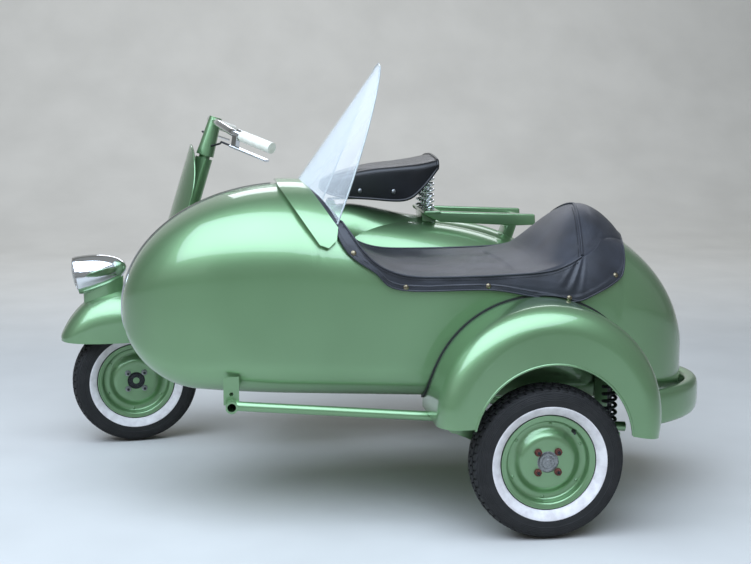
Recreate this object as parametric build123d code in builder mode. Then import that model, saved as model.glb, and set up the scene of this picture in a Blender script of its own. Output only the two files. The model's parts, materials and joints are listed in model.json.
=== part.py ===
from build123d import *
from math import asin, atan2, cos, pi, radians, sin, sqrt, tan
import os

os.makedirs("parts", exist_ok=True)

# Millimetres. +X points to the rear, -Y to the sidecar, +Z up, and the ground is at Z = 0

# Layout of the outfit
wheelbase = 1160
front_axle_x = -666
rear_axle_x = front_axle_x + wheelbase
scooter_y = 360
track = 1027
side_wheel_lead = 132
side_wheel_x = rear_axle_x - side_wheel_lead
side_wheel_y = scooter_y - track
sidecar_y = -260

# Fits between pieces
seat_gap = 0.3
bearing_gap = 0.05

# Wheels and tyres
tyre_radius = 190
tyre_width = 92
tyre_bead_radius = 104
tyre_bead_half = 25
tyre_flange_radius = 117
tyre_crown_half = 39
tyre_crown_drop = 9
tyre_belly_radius = 150
rim_flange_radius = 115.5
rim_half = 29
rim_sheet = 3
hub_plate_radius = 64
hub_plate_reach = 20
rim_trough_reach = 4
centre_hole_radius = 26.5
stud_circle_radius = 35
stud_count = 4
stud_radius = 4
stud_hole_radius = 5.5
nut_across = 14
nut_height = 7
drum_depth = 62
drum_nose_radius = 22
axle_radius = 10
backplate_gap = 5
backplate_sheet = 4

# Steering: the head is raked and stands turned to the left
rake = 17
head_x = -445
head_z = 861
steer_rest_angle = 8
column_radius = 17
head_tube_radius = 26
head_tube_wall = 3
head_tube_top = 868
head_tube_bottom = 500
bearing_height = 16
fork_bend_z = 432
fork_arm_offset = 75
link_far_y = 58
front_spring_radius = 13
link_pivot_x = front_axle_x - 48
link_pivot_z = 232

# Handlebar
bar_z = 977
bar_radius = 11
bar_tip = (107, 348, 926)
bar_bend = (21, 222, 960)
bar_root = (0, 90, bar_z)
grip_length = 118
grip_radius = 16
lever_drop = 34
lever_ahead = 16

# Front mudguard and headlamp
guard_sheet = 2.5
guard_hem_z = 326
lamp_radius = 58
lamp_rim = 12
bowl_depth = 46
glass_radius = 51
glass_edge = glass_radius - seat_gap
glass_dome = 9
glass_sheet = 4
lamp_face_x = -836
lamp_face_z = 519
lamp_tip_x = -684
lamp_tip_z = 545

# Scooter body
spine_half = 40
engine_pivot_x = 250
engine_pivot_z = 300
engine_pin_radius = 12
engine_arm_thick = 22
damper_seat = 44
damper_radius = 20
damper_top_z = 470
saddle_frame_z = 738
spring_row_x = 236
spring_top_z = 828.2
saddle_wall = 10
saddle_depth = 26
saddle_coils = 8
rack_top = 708
rack_half = 100
rack_rail_width = 28
rack_rail_height = 34
rack_fall = 14
rack_end_x = 560
louvre_count = 5
louvre_pitch = 34
shield_front_x = -566
shield_sheet = 2.5
shield_foot_z = 290

# Sidecar body
body_half_width = 280
body_wall = 4
nose_centre_x = -230
nose_length = 432
nose_height = 321
waist_z = 515
nose_keel_x = -470
nose_keel_length = 192
tail_centre_x = 430
tail_length = 402
tail_waist_z = 340
tail_height = 410
floor_front_z = 335
floor_slope = 0.045
shoulder_radius = 190
crown_radius = 500
bilge_radius = 90
middle_spans = 4
band_proud = 12
vinyl_proud = 9
cover_sheet = 4
hump_base_z = 600
well_half = 194
bead_proud = 3.5
bead_root = 6
bead_half = 3

# Sidecar fender
fender_centre_x = side_wheel_x + 8
fender_centre_z = 292
fender_radius = 278
fender_sheet = 3
fender_outer_y = side_wheel_y - 58
fender_inner_y = -470
fender_shoulder = 62
fender_lip_radius = 138
welt_thick = 6
welt_lip = 4
welt_root = 8
welt_outer_y = -560
fender_dip = 2
fender_rear_dip = 11
fender_mouth = ((177, 281), (359, 436), (562, 239))
fender_low_z = 246

# Bumper
bumper_end_x = 660
bumper_z = 265
bumper_height = 90
bumper_depth = 24
bumper_standoff = 28
bumper_side_standoff = 6
stay_offset = 130
stay_half = 10

# Sidecar chassis
rail_y = -540
rail_radius = 12
rail_front_z = 316
rail_rear_z = 274
rail_mark_x = 99
rail_end_x = 600
cross_front_x = -390
cross_radius = 15
cross_bore_radius = 10.5
cross_end_y = -562
cross_rear_x = 150
inner_rail_y = -10
bracket_width = 38
seat_block_offset = 160
front_tube_reach_y = 150
rear_tube_reach_y = 246
strut_x = -60
strut_head_z = 500


def axis_x(z):
    """X of the steering axis at a height, with the fork straight."""
    return head_x + (z - head_z) * tan(radians(rake))


def axis_point(z):
    return (axis_x(z), scooter_y, z)


steer_axis = Axis(axis_point(head_z), (sin(radians(rake)), 0, cos(radians(rake))))


def turned(shape):
    """Turns a straight-ahead steering piece to the angle it rests at."""
    return shape.rotate(steer_axis, steer_rest_angle)


def finish(builder, label):
    builder.part.label = label
    export_step(builder.part, f"parts/{label}.step")


def axle_plane(wheel_x, wheel_y, inward):
    """Plane through a wheel's axle, its normal pointing out of the wheel's open face."""
    return Plane(
        origin=(wheel_x, wheel_y + inward, tyre_radius), x_dir=(1, 0, 0), z_dir=(0, -1, 0)
    )


# Wheels: name, x, y
wheel_places = (
    ("front", front_axle_x, scooter_y),
    ("rear", rear_axle_x, scooter_y),
    ("sidecar", side_wheel_x, side_wheel_y),
)

for wheel_name, wheel_x, wheel_y in wheel_places:
    radial = Plane(origin=(wheel_x, wheel_y, tyre_radius), x_dir=(0, 1, 0), z_dir=(1, 0, 0))
    outward = Plane(origin=(wheel_x, wheel_y, tyre_radius), x_dir=(1, 0, 0), z_dir=(0, -1, 0))
    spin = Axis((wheel_x, wheel_y, tyre_radius), (0, 1, 0))
    half = tyre_width / 2
    crown_edge = tyre_radius - tyre_crown_drop

    with BuildPart() as tyre:
        with BuildSketch(radial):
            with BuildLine():
                Line((-tyre_bead_half, tyre_bead_radius), (tyre_bead_half, tyre_bead_radius))
                Line((tyre_bead_half, tyre_bead_radius), (tyre_bead_half, tyre_flange_radius))
                ThreePointArc(
                    (tyre_bead_half, tyre_flange_radius),
                    (half, tyre_belly_radius),
                    (tyre_crown_half, crown_edge),
                )
                ThreePointArc(
                    (tyre_crown_half, crown_edge), (0, tyre_radius), (-tyre_crown_half, crown_edge)
                )
                ThreePointArc(
                    (-tyre_crown_half, crown_edge),
                    (-half, tyre_belly_radius),
                    (-tyre_bead_half, tyre_flange_radius),
                )
                Line((-tyre_bead_half, tyre_flange_radius), (-tyre_bead_half, tyre_bead_radius))
            make_face()
        revolve(axis=spin)
    if wheel_name == "front":
        tyre.part = turned(tyre.part)
    finish(tyre, f"{wheel_name}_tyre")

    seat = tyre_bead_radius - 0.2
    well = seat - rim_sheet
    with BuildPart() as rim:
        with BuildSketch(radial):
            with BuildLine():
                Polyline(
                    (-rim_half, rim_flange_radius),
                    (-rim_half + rim_sheet, rim_flange_radius),
                    (-rim_half + rim_sheet, seat),
                    (rim_half - rim_sheet, seat),
                    (rim_half - rim_sheet, rim_flange_radius),
                    (rim_half, rim_flange_radius),
                    (rim_half, well),
                    (-rim_half, well),
                    close=True,
                )
            make_face()
            with BuildLine():
                Polyline(
                    (-rim_trough_reach - rim_sheet, well + 0.5),
                    (-rim_trough_reach - rim_sheet, 82),
                    (-hub_plate_reach - rim_sheet, hub_plate_radius + 4),
                    (-hub_plate_reach - rim_sheet, centre_hole_radius),
                    (-hub_plate_reach, centre_hole_radius),
                    (-hub_plate_reach, hub_plate_radius),
                    (-rim_trough_reach, 80),
                    (-rim_trough_reach, well + 0.5),
                    close=True,
                )
            make_face()
        revolve(axis=spin)
        with BuildSketch(outward):
            with PolarLocations(stud_circle_radius, stud_count, start_angle=45):
                Circle(stud_hole_radius)
        extrude(amount=60, mode=Mode.SUBTRACT)
    if wheel_name == "front":
        rim.part = turned(rim.part)
    finish(rim, f"{wheel_name}_rim")

    with BuildPart() as hub:
        with BuildSketch(outward.offset(hub_plate_reach)):
            Circle(hub_plate_radius - 1)
        extrude(amount=-drum_depth)
        with BuildSketch(outward.offset(hub_plate_reach)):
            Circle(drum_nose_radius)
        extrude(amount=rim_sheet + 1)
        with BuildSketch(outward.offset(hub_plate_reach)):
            with PolarLocations(stud_circle_radius, stud_count, start_angle=45):
                Circle(stud_radius)
        extrude(amount=rim_sheet + nut_height + 3)
        with BuildSketch(outward.offset(hub_plate_reach + rim_sheet)):
            with PolarLocations(stud_circle_radius, stud_count, start_angle=45):
                RegularPolygon(nut_across / 2, 6, major_radius=False)
        extrude(amount=nut_height)
        with BuildSketch(outward.offset(hub_plate_reach + rim_sheet + 1)):
            Circle(axle_radius + bearing_gap)
        extrude(amount=-drum_depth - rim_sheet - 1, mode=Mode.SUBTRACT)
    if wheel_name == "front":
        hub.part = turned(hub.part)
    finish(hub, f"{wheel_name}_hub")

hub_back = drum_depth - hub_plate_reach
backplate_y = hub_back + backplate_gap
arm_y = backplate_y + backplate_sheet

# Fork column with the arm that passes the right side of the wheel
fork_arm_y = scooter_y + fork_arm_offset


def fork_tube(radius):
    with BuildPart() as tube:
        with BuildLine() as fork_path:
            FilletPolyline(
                axis_point(head_tube_top + 30),
                axis_point(fork_bend_z),
                (axis_x(fork_bend_z) - 20, fork_arm_y, fork_bend_z - 70),
                (link_pivot_x, fork_arm_y, link_pivot_z),
                radius=34,
            )
        with BuildSketch(Plane(axis_point(head_tube_top + 30), z_dir=steer_axis.direction)):
            Circle(radius)
        sweep(path=fork_path.line)
    return tube.part


with BuildPart() as fork:
    add(fork_tube(column_radius))
    with BuildSketch(axle_plane(link_pivot_x, scooter_y, link_far_y + seat_gap)):
        with Locations((0, link_pivot_z - tyre_radius)):
            Circle(20)
    extrude(amount=-(fork_arm_offset + 16 - link_far_y))
fork.part = turned(fork.part)
finish(fork, "fork")

# Trailing link that carries the front wheel on its stub axle
with BuildPart() as link:
    with BuildSketch(axle_plane(front_axle_x, scooter_y, backplate_y)):
        Circle(hub_plate_radius)
    extrude(amount=-backplate_sheet)
    with BuildSketch(axle_plane(front_axle_x, scooter_y, arm_y)):
        with BuildLine():
            Polyline(
                (-68, 36),
                (-56, 60),
                (-36, 56),
                (20, 22),
                (86, 16),
                (86, -2),
                (0, -26),
                (-24, -18),
                close=True,
            )
        make_face()
    extrude(amount=arm_y - link_far_y)
    with BuildSketch(axle_plane(front_axle_x, scooter_y, arm_y)):
        with Locations((70, 10)):
            Rectangle(32, 12)
    extrude(amount=arm_y - fork_arm_offset - 16)
    with BuildSketch(axle_plane(front_axle_x, scooter_y, arm_y)):
        Circle(axle_radius)
    extrude(amount=arm_y + hub_plate_reach + rim_sheet)
link.part = turned(link.part)
finish(link, "front_link")

front_spring_x = front_axle_x + 70
with BuildPart() as front_spring:
    with BuildSketch(Plane.XY.offset(tyre_radius + 16 + seat_gap)):
        with Locations((front_spring_x, fork_arm_y)):
            Circle(front_spring_radius)
    extrude(amount=170)
    add(fork_tube(column_radius + seat_gap), mode=Mode.SUBTRACT)
front_spring.part = turned(front_spring.part.solids().sort_by(Axis.Z)[0])
finish(front_spring, "front_spring")

# Bar points: set back from the steering axis, reach to the side, height
def bar_point(side, spot):
    back, reach, z = spot
    return (axis_x(bar_z) + back, scooter_y + side * reach, z)


# Handlebar: one tube through the head casting, swept back at the grips
with BuildPart() as handlebar:
    with BuildLine() as bar_path:
        FilletPolyline(
            bar_point(-1, bar_tip),
            bar_point(-1, bar_bend),
            bar_point(-1, bar_root),
            bar_point(1, bar_root),
            bar_point(1, bar_bend),
            bar_point(1, bar_tip),
            radius=60,
        )
    with BuildSketch(Plane(bar_point(-1, bar_tip), z_dir=bar_path.line % 0)):
        Circle(bar_radius)
    sweep(path=bar_path.line)
    with BuildSketch(Plane(axis_point(head_tube_top + 8), z_dir=steer_axis.direction)):
        Circle(27)
    with BuildSketch(Plane(axis_point(990), z_dir=steer_axis.direction)):
        Circle(19)
    loft()
    with BuildSketch(Plane(axis_point(head_tube_top + 7), z_dir=steer_axis.direction)):
        Circle(column_radius)
    extrude(amount=31, mode=Mode.SUBTRACT)
handlebar.part = turned(handlebar.part)
finish(handlebar, "handlebar")


def bar_end(side, inward):
    """Plane across a bar end, inward along the bar from its tip; local +X points ahead."""
    tip = Vector(*bar_point(side, bar_tip))
    way = (Vector(*bar_point(side, bar_bend)) - tip).normalized()
    ahead = Vector(way.Y * side, -way.X * side, 0).normalized()
    if ahead.X > 0:
        ahead = ahead * -1
    return Plane(origin=tip + way * inward, x_dir=ahead, z_dir=way)


with BuildPart() as grips:
    for side in (-1, 1):
        with BuildSketch(bar_end(side, -4)):
            Circle(grip_radius)
        extrude(amount=grip_length + 4)
        with BuildSketch(bar_end(side, 0)):
            Circle(bar_radius + 0.1)
        extrude(amount=grip_length + 10, mode=Mode.SUBTRACT)
grips.part = turned(grips.part)
finish(grips, "handlebar_grips")

with BuildPart() as levers:
    for side in (-1, 1):
        down = side
        with BuildSketch(bar_end(side, grip_length + 2)):
            Circle(grip_radius)
            with Locations((lever_ahead / 2 + 4, down * (lever_drop / 2))):
                Rectangle(16, lever_drop)
            Circle(bar_radius + 0.1, mode=Mode.SUBTRACT)
        extrude(amount=18)
        with BuildSketch(bar_end(side, grip_length + 24)):
            with Locations((lever_ahead, down * lever_drop)):
                RectangleRounded(16, 7, 3)
        extrude(amount=-150)
levers.part = turned(levers.part)
finish(levers, "hand_levers")

with BuildPart() as cables:
    for side in (-1, 1):
        start_plane = bar_end(side, grip_length + 24)
        start = start_plane.from_local_coords(Vector(lever_ahead, side * lever_drop, 0))
        with BuildLine() as cable_path:
            FilletPolyline(
                start,
                start + start_plane.z_dir * 40,
                (axis_x(900) + 30, scooter_y + side * 60, 915),
                (axis_x(900) + 8, scooter_y + side * 20, 905),
                radius=18,
            )
        with BuildSketch(Plane(start, z_dir=cable_path.line % 0)):
            Circle(3)
        sweep(path=cable_path.line)
    with BuildSketch(Plane(axis_point(head_tube_top + 8), z_dir=steer_axis.direction)):
        Circle(27 + seat_gap)
    with BuildSketch(Plane(axis_point(990), z_dir=steer_axis.direction)):
        Circle(19 + seat_gap)
    loft(mode=Mode.SUBTRACT)
cables.part = turned(cables.part)
finish(cables, "control_cables")

# Front mudguard: sections along X, and a rolled hem at its lower edge
# Columns: x, half width, top z
guard_rows = (
    (-884, 14, 338),
    (-868, 50, 368),
    (-816, 80, 432),
    (-740, 92, 470),
    (-670, 92, 470),
    (-610, 82, 446),
    (-556, 62, 404),
    (-506, 46, 346),
)


def guard_solid(inset, base):
    with BuildPart() as solid:
        for place, (x, half, top) in enumerate(guard_rows):
            end_shift = inset if place == 0 else -inset if place == len(guard_rows) - 1 else 0
            w = half - inset
            z = top - inset
            side_z = guard_hem_z + (z - guard_hem_z) * 0.35
            with BuildSketch(Plane(origin=(x + end_shift, scooter_y, 0), x_dir=(0, 1, 0), z_dir=(1, 0, 0))):
                with BuildLine():
                    Polyline((-w, side_z), (-w, base), (w, base), (w, side_z))
                    ThreePointArc((w, side_z), (w * 0.72, side_z + (z - side_z) * 0.72), (0, z))
                    ThreePointArc((0, z), (-w * 0.72, side_z + (z - side_z) * 0.72), (-w, side_z))
                make_face()
        loft()
    return solid.part


guard_skin = guard_solid(0, guard_hem_z)
with BuildPart() as mudguard:
    add(guard_skin)
    add(guard_solid(guard_sheet, guard_hem_z - 20), mode=Mode.SUBTRACT)
    add(fork_tube(column_radius + seat_gap), mode=Mode.SUBTRACT)
    with BuildSketch(Plane.XY.offset(guard_hem_z - 30)):
        with Locations((front_spring_x, fork_arm_y)):
            Circle(front_spring_radius + 1)
    extrude(amount=100, mode=Mode.SUBTRACT)
mudguard.part = Part(mudguard.part.solids().sort_by(SortBy.VOLUME)[-1].wrapped)
mudguard.part = turned(mudguard.part)
finish(mudguard, "front_mudguard")

# Headlamp: a teardrop bowl with a domed glass, on a saddle-shaped foot
lamp_way = Vector(lamp_tip_x - lamp_face_x, 0, lamp_tip_z - lamp_face_z)
lamp_plane = Plane(
    origin=(lamp_face_x, scooter_y, lamp_face_z), x_dir=lamp_way, z_dir=(0, -1, 0)
)
lamp_axis = Axis((lamp_face_x, scooter_y, lamp_face_z), lamp_way)
lamp_length = lamp_way.length


def lamp_outer(grow):
    with BuildPart() as solid:
        with BuildSketch(lamp_plane):
            with BuildLine():
                Polyline((lamp_rim, lamp_radius + grow), (0, lamp_radius - 2 + grow), (0, 0))
                Line((0, 0), (lamp_length + grow, 0))
                EllipticalCenterArc(
                    (lamp_rim, 0),
                    lamp_length - lamp_rim + grow,
                    lamp_radius + grow,
                    start_angle=0,
                    arc_size=90,
                )
            make_face()
        revolve(axis=lamp_axis)
    return solid.part


with BuildPart() as lamp_shell:
    add(lamp_outer(0))
    with BuildSketch(lamp_plane):
        with BuildLine():
            Polyline((0, glass_radius), (0, 0), (bowl_depth, 0))
            EllipticalCenterArc((0, 0), bowl_depth, glass_radius, start_angle=0, arc_size=90)
        make_face()
    revolve(axis=lamp_axis, mode=Mode.SUBTRACT)
lamp_shell.part = turned(lamp_shell.part)
finish(lamp_shell, "headlamp_shell")

with BuildPart() as lamp_glass:
    with BuildSketch(lamp_plane):
        with BuildLine():
            ThreePointArc((-glass_dome, 0), (-0.72 * glass_dome, 0.55 * glass_edge), (0, glass_edge))
            Polyline((0, glass_edge), (glass_sheet, glass_edge), (glass_sheet, 0), (-glass_dome, 0))
        make_face()
    revolve(axis=lamp_axis)
lamp_glass.part = turned(lamp_glass.part)
finish(lamp_glass, "headlamp_glass")

with BuildPart() as lamp_foot:
    with BuildSketch(Plane.XY.offset(430)):
        with Locations((-754, scooter_y)):
            Ellipse(60, 34)
    extrude(amount=86)
    add(lamp_outer(seat_gap), mode=Mode.SUBTRACT)
    add(guard_solid(-seat_gap, 200), mode=Mode.SUBTRACT)
lamp_foot.part = turned(lamp_foot.part)
finish(lamp_foot, "headlamp_foot")

# Head tube fixed to the body, with a bearing ring at each end
with BuildPart() as head_tube:
    with BuildSketch(Plane(axis_point(head_tube_bottom), z_dir=steer_axis.direction)):
        Circle(head_tube_radius)
        Circle(head_tube_radius - head_tube_wall, mode=Mode.SUBTRACT)
    extrude(amount=(head_tube_top - head_tube_bottom) / cos(radians(rake)))
    for ring_z in (head_tube_bottom, head_tube_top - bearing_height * cos(radians(rake))):
        with BuildSketch(Plane(axis_point(ring_z), z_dir=steer_axis.direction)):
            Circle(head_tube_radius)
            Circle(column_radius + bearing_gap, mode=Mode.SUBTRACT)
        extrude(amount=bearing_height)
finish(head_tube, "head_tube")


# Sidecar body: sections along X, squared ellipses that close at nose and tail
def floor_z(x):
    return floor_front_z - floor_slope * (x - nose_keel_x)


def body_stations():
    """Rows of x, share of the full width, top z, bottom z."""
    rows = []
    for angle in (88, 80, 68, 52, 30):
        x = nose_centre_x - nose_length * sin(radians(angle))
        share = cos(radians(angle))
        keel = max(0.0, (nose_keel_x - x) / nose_keel_length)
        lift = waist_z - floor_z(x)
        rows.append((x, share, waist_z + nose_height * share, waist_z - lift * sqrt(1 - keel**2)))
    nose_top = waist_z + nose_height
    tail_top = tail_waist_z + tail_height
    for step in range(middle_spans + 1):
        part_way = step / middle_spans
        x = nose_centre_x + part_way * (tail_centre_x - nose_centre_x)
        rows.append((x, 1.0, nose_top + part_way * (tail_top - nose_top), floor_z(x)))
    for angle in (28, 48, 64, 77, 87):
        x = tail_centre_x + tail_length * sin(radians(angle))
        share = cos(radians(angle))
        rows.append((x, share, tail_waist_z + tail_height * share, floor_z(x)))
    return rows


def hull(grow):
    """The sidecar body as one filled solid, its skin moved out by grow."""
    with BuildPart() as filled:
        for x, share, top, bottom in body_stations():
            width = body_half_width * share + grow
            if width < 4 or top - bottom + 2 * grow < 8:
                continue
            size = width / body_half_width
            shoulder = shoulder_radius * size
            crown = crown_radius * size
            bilge = bilge_radius * size
            roof = top + grow
            base = bottom - grow
            inset = width - shoulder
            crown_z = roof - crown
            shoulder_z = crown_z + sqrt((crown - shoulder) ** 2 - inset**2)
            lean = asin(inset / (crown - shoulder))
            meet = (crown * sin(lean), crown_z + crown * cos(lean))
            mid = (pi / 2 + lean) / 2
            bend = (inset + shoulder * sin(mid), shoulder_z + shoulder * cos(mid))
            low = (width - bilge + bilge * sin(pi / 4), base + bilge - bilge * cos(pi / 4))
            with BuildSketch(Plane(origin=(x, sidecar_y, 0), x_dir=(0, 1, 0), z_dir=(1, 0, 0))):
                with BuildLine():
                    ThreePointArc((-meet[0], meet[1]), (0, roof), meet)
                    ThreePointArc(meet, bend, (width, shoulder_z))
                    Line((width, shoulder_z), (width, base + bilge))
                    ThreePointArc((width, base + bilge), low, (width - bilge, base))
                    Line((width - bilge, base), (bilge - width, base))
                    ThreePointArc((bilge - width, base), (-low[0], low[1]), (-width, base + bilge))
                    Line((-width, base + bilge), (-width, shoulder_z))
                    ThreePointArc((-width, shoulder_z), (-bend[0], bend[1]), (-meet[0], meet[1]))
                make_face()
        loft()
    return filled.part


def side_plate(points, half_width=400, y=None):
    """A plate of the given side view, spanning the sidecar's width."""
    middle = sidecar_y if y is None else y
    with BuildPart() as plate:
        with BuildSketch(Plane.XZ.offset(-middle)):
            with BuildLine():
                Polyline(*points, close=True)
            make_face()
        extrude(amount=half_width, both=True)
    return plate.part


skin = hull(0)
cavity = hull(-body_wall)
band_skin = hull(band_proud)
welt_skin = hull(welt_thick)
vinyl_skin = hull(vinyl_proud)
vinyl_seat = hull(seat_gap)

# Edge of the cockpit opening in side view, from the screen to the seat back
opening_edge = (
    (-196, 836), (-138, 770), (-102, 722), (-66, 672), (-20, 638), (50, 618), (150, 614), (300, 616),
    (390, 620), (440, 632), (490, 654), (540, 676), (590, 712),
)
# Top of the cover in side view as far as the seat back, then the line where its hump meets the skin
cover_line = (
    (-188, 842), (-130, 778), (-94, 730), (-58, 680), (-14, 646), (50, 627), (150, 623), (300, 625),
    (390, 630), (440, 642), (490, 664), (540, 688), (590, 730), (645, 760),
)
# Hem of the cover's skirt in side view, from the seat back to the screen
skirt_edge = (
    (645, 690), (624, 683), (605, 634), (587, 607), (518, 574), (456, 556), (352, 572), (243, 590),
    (26, 594), (-39, 639), (-102, 685), (-140, 756),
)
# Sections of the hump that the cover makes over the seat back
hump_rows = (
    # x, half width, z of its foot, z of its crest
    (330, 266, 612, 626),
    (390, 268, 628, 650),
    (440, 258, 642, 705),
    (490, 236, 664, 750),
    (543, 200, 686, 774),
    (589, 156, 690, 760),
    (629, 128, 680, 726),
    (646, 108, 672, 698),
)

with BuildPart() as sidecar_body:
    add(skin)
    add(cavity, mode=Mode.SUBTRACT)
    add(side_plate(opening_edge + ((590, 950), (-185, 950))), mode=Mode.SUBTRACT)
finish(sidecar_body, "sidecar_body")

with BuildPart() as bead:
    keel_lift = waist_z - floor_z(nose_keel_x)
    with BuildSketch(Plane.XZ.offset(-sidecar_y)):
        with Locations((nose_centre_x, waist_z)):
            Ellipse(nose_length + bead_proud, nose_height + bead_proud)
            Ellipse(nose_length - bead_root, nose_height - bead_root, mode=Mode.SUBTRACT)
        with Locations((nose_centre_x - 245, waist_z + 200)):
            Rectangle(400, 400, mode=Mode.INTERSECT)
    extrude(amount=bead_half, both=True)
    with BuildSketch(Plane.XZ.offset(-sidecar_y)):
        with Locations((nose_keel_x, waist_z)):
            Ellipse(nose_keel_length + bead_proud, keel_lift + bead_proud)
            Ellipse(nose_keel_length - bead_root, keel_lift - bead_root, mode=Mode.SUBTRACT)
        with Locations((nose_keel_x - 210, waist_z - 100)):
            Rectangle(200, 200, mode=Mode.INTERSECT)
    extrude(amount=bead_half, both=True)
    add(skin, mode=Mode.SUBTRACT)
finish(bead, "nose_bead")

# Side view of the raised band that the windscreen stands on
band_side = (
    (-262, 900), (-262, 838), (-172, 706), (-150, 698), (-130, 716), (-125, 745), (-196, 850), (-198, 900),
)
with BuildPart() as screen_cowl:
    add(band_skin)
    add(side_plate(band_side), mode=Mode.INTERSECT)
    add(skin, mode=Mode.SUBTRACT)
finish(screen_cowl, "screen_cowl")

# Windscreen: a bent clear sheet, part of a leaning cylinder, cut to its side view
screen_radius = 314
screen_sheet = 4
screen_foot = (-198, 853)
screen_tip = (8, 1142)
screen_lean = atan2(screen_tip[0] - screen_foot[0], screen_tip[1] - screen_foot[1])
along = Vector(sin(screen_lean), 0, cos(screen_lean))
rearward = Vector(cos(screen_lean), 0, -sin(screen_lean))
screen_base = Vector(screen_foot[0], sidecar_y, screen_foot[1]) - along * 80 + rearward * screen_radius
with BuildPart() as windscreen:
    with BuildSketch(Plane(origin=screen_base, x_dir=rearward, z_dir=along)):
        Circle(screen_radius)
        Circle(screen_radius - screen_sheet, mode=Mode.SUBTRACT)
    extrude(amount=520)
    with BuildSketch(Plane.XZ.offset(-sidecar_y)):
        with BuildLine():
            Polyline((-230, 870), (-205, 840), (-140, 740), (-126, 752))
            ThreePointArc((-126, 752), (-32, 1010), screen_tip)
            Line(screen_tip, (-230, 870))
        make_face()
    extrude(amount=body_half_width - 20, both=True, mode=Mode.INTERSECT)
    add(hull(band_proud + seat_gap), mode=Mode.SUBTRACT)
finish(windscreen, "windscreen")

# Vinyl cover over the cockpit: flat across the opening, raised over the seat back, with a skirt
def hump(inset):
    """The form under the raised part of the cover, its skin moved in by inset."""
    with BuildPart() as filled:
        for x, half, foot_z, crest_z in hump_rows:
            width = half - inset
            with BuildSketch(Plane(origin=(x, sidecar_y, 0), x_dir=(0, 1, 0), z_dir=(1, 0, 0))):
                with BuildLine():
                    ThreePointArc((-width, foot_z - inset), (0, crest_z - inset), (width, foot_z - inset))
                    Polyline(
                        (width, foot_z - inset), (width, hump_base_z), (-width, hump_base_z),
                        (-width, foot_z - inset),
                    )
                make_face()
        loft()
    return filled.part


with BuildPart() as cover:
    add(vinyl_skin)
    add(side_plate(cover_line + skirt_edge), mode=Mode.INTERSECT)
    with BuildPart(mode=Mode.PRIVATE) as raised:
        add(hump(0))
        add(side_plate(((300, 900), (700, 900), *skirt_edge[:8])), mode=Mode.INTERSECT)
    add(raised.part)
    with BuildPart(mode=Mode.PRIVATE) as under:
        lowered = tuple((x, z - cover_sheet) for x, z in cover_line)
        add(vinyl_seat)
        add(side_plate(lowered + ((645, 200), (-200, 200))), mode=Mode.INTERSECT)
    add(under.part, mode=Mode.SUBTRACT)
    add(hump(cover_sheet), mode=Mode.SUBTRACT)
    add(screen_cowl.part, mode=Mode.SUBTRACT)
    with BuildSketch(Plane.XZ.offset(-sidecar_y)):
        with Locations((fender_centre_x, fender_centre_z)):
            Circle(fender_radius + welt_lip + seat_gap)
    extrude(amount=2 * body_half_width, mode=Mode.SUBTRACT)
cover.part = Part(cover.part.solids().sort_by(SortBy.VOLUME)[-1].wrapped)
finish(cover, "cockpit_trim")


# Seat pads inside the cockpit
cushion_half = 185
seat_well_x = 460
backrest_gap = 2
with BuildPart() as cushion:
    with BuildSketch(Plane.XZ.offset(-sidecar_y)):
        with BuildLine():
            Polyline((150, 400), (150, 440), (180, 470), (440, 440), (455, 410), (455, 400), close=True)
        make_face()
    extrude(amount=cushion_half, both=True)
finish(cushion, "sidecar_cushion")

with BuildPart() as seat_box:
    with BuildSketch(Plane.XZ.offset(-sidecar_y)):
        with BuildLine():
            Polyline((170, 306), (170, 399.7), (450, 399.7), (450, 294), close=True)
        make_face()
    extrude(amount=170, both=True)
    add(cavity, mode=Mode.INTERSECT)
finish(seat_box, "sidecar_seat_box")

with BuildPart() as backrest:
    with BuildSketch(Plane.XZ.offset(-sidecar_y)):
        with BuildLine():
            Polyline((460, 405), (545, 405), (583, 690), (583, 800), (510, 800), (490, 620), close=True)
        make_face()
    extrude(amount=well_half, both=True)
    with BuildPart(mode=Mode.PRIVATE) as room:
        add(hump(cover_sheet + backrest_gap))
        with Locations((seat_well_x, sidecar_y, hump_base_z)):
            Box(400, 2 * well_half, 400, align=(Align.CENTER, Align.CENTER, Align.MAX))
    add(room.part, mode=Mode.INTERSECT)
    add(sidecar_body.part, mode=Mode.SUBTRACT)
backrest.part = Part(backrest.part.solids().sort_by(SortBy.VOLUME)[-1].wrapped)
finish(backrest, "sidecar_backrest")

# The chassis rails fall towards the rear on one line
rail_drop = rail_front_z - rail_rear_z
rail_start_x = cross_front_x


def rail_z(x):
    return rail_front_z - rail_drop * (x - rail_start_x) / (rail_mark_x - rail_start_x)


rail_way = Vector(rail_end_x - rail_start_x, 0, rail_z(rail_end_x) - rail_front_z)


# Fender over the sidecar wheel, spun about its own centre, and the welt that seals it
fender_start = radians(fender_dip)
fender_plane = Plane(
    origin=(fender_centre_x, 0, fender_centre_z),
    x_dir=(0, 1, 0),
    z_dir=(-sin(fender_start), 0, cos(fender_start)),
)
fender_axis = Axis((fender_centre_x, 0, fender_centre_z), (0, 1, 0))
fender_arc = 180 + fender_dip + fender_rear_dip


def fender_line(inset):
    """Points of the fender's section, y and radius, from the body to the lip."""
    curve = fender_shoulder - inset
    shoulder_y = fender_outer_y + fender_shoulder
    outer_r = fender_radius - inset
    face_y = fender_outer_y + inset
    bend = curve * (1 - sqrt(0.5))
    return (
        (fender_inner_y, outer_r),
        (shoulder_y, outer_r),
        (face_y + bend, outer_r - bend),
        (face_y, outer_r - curve),
        (face_y, fender_lip_radius),
    )


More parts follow.
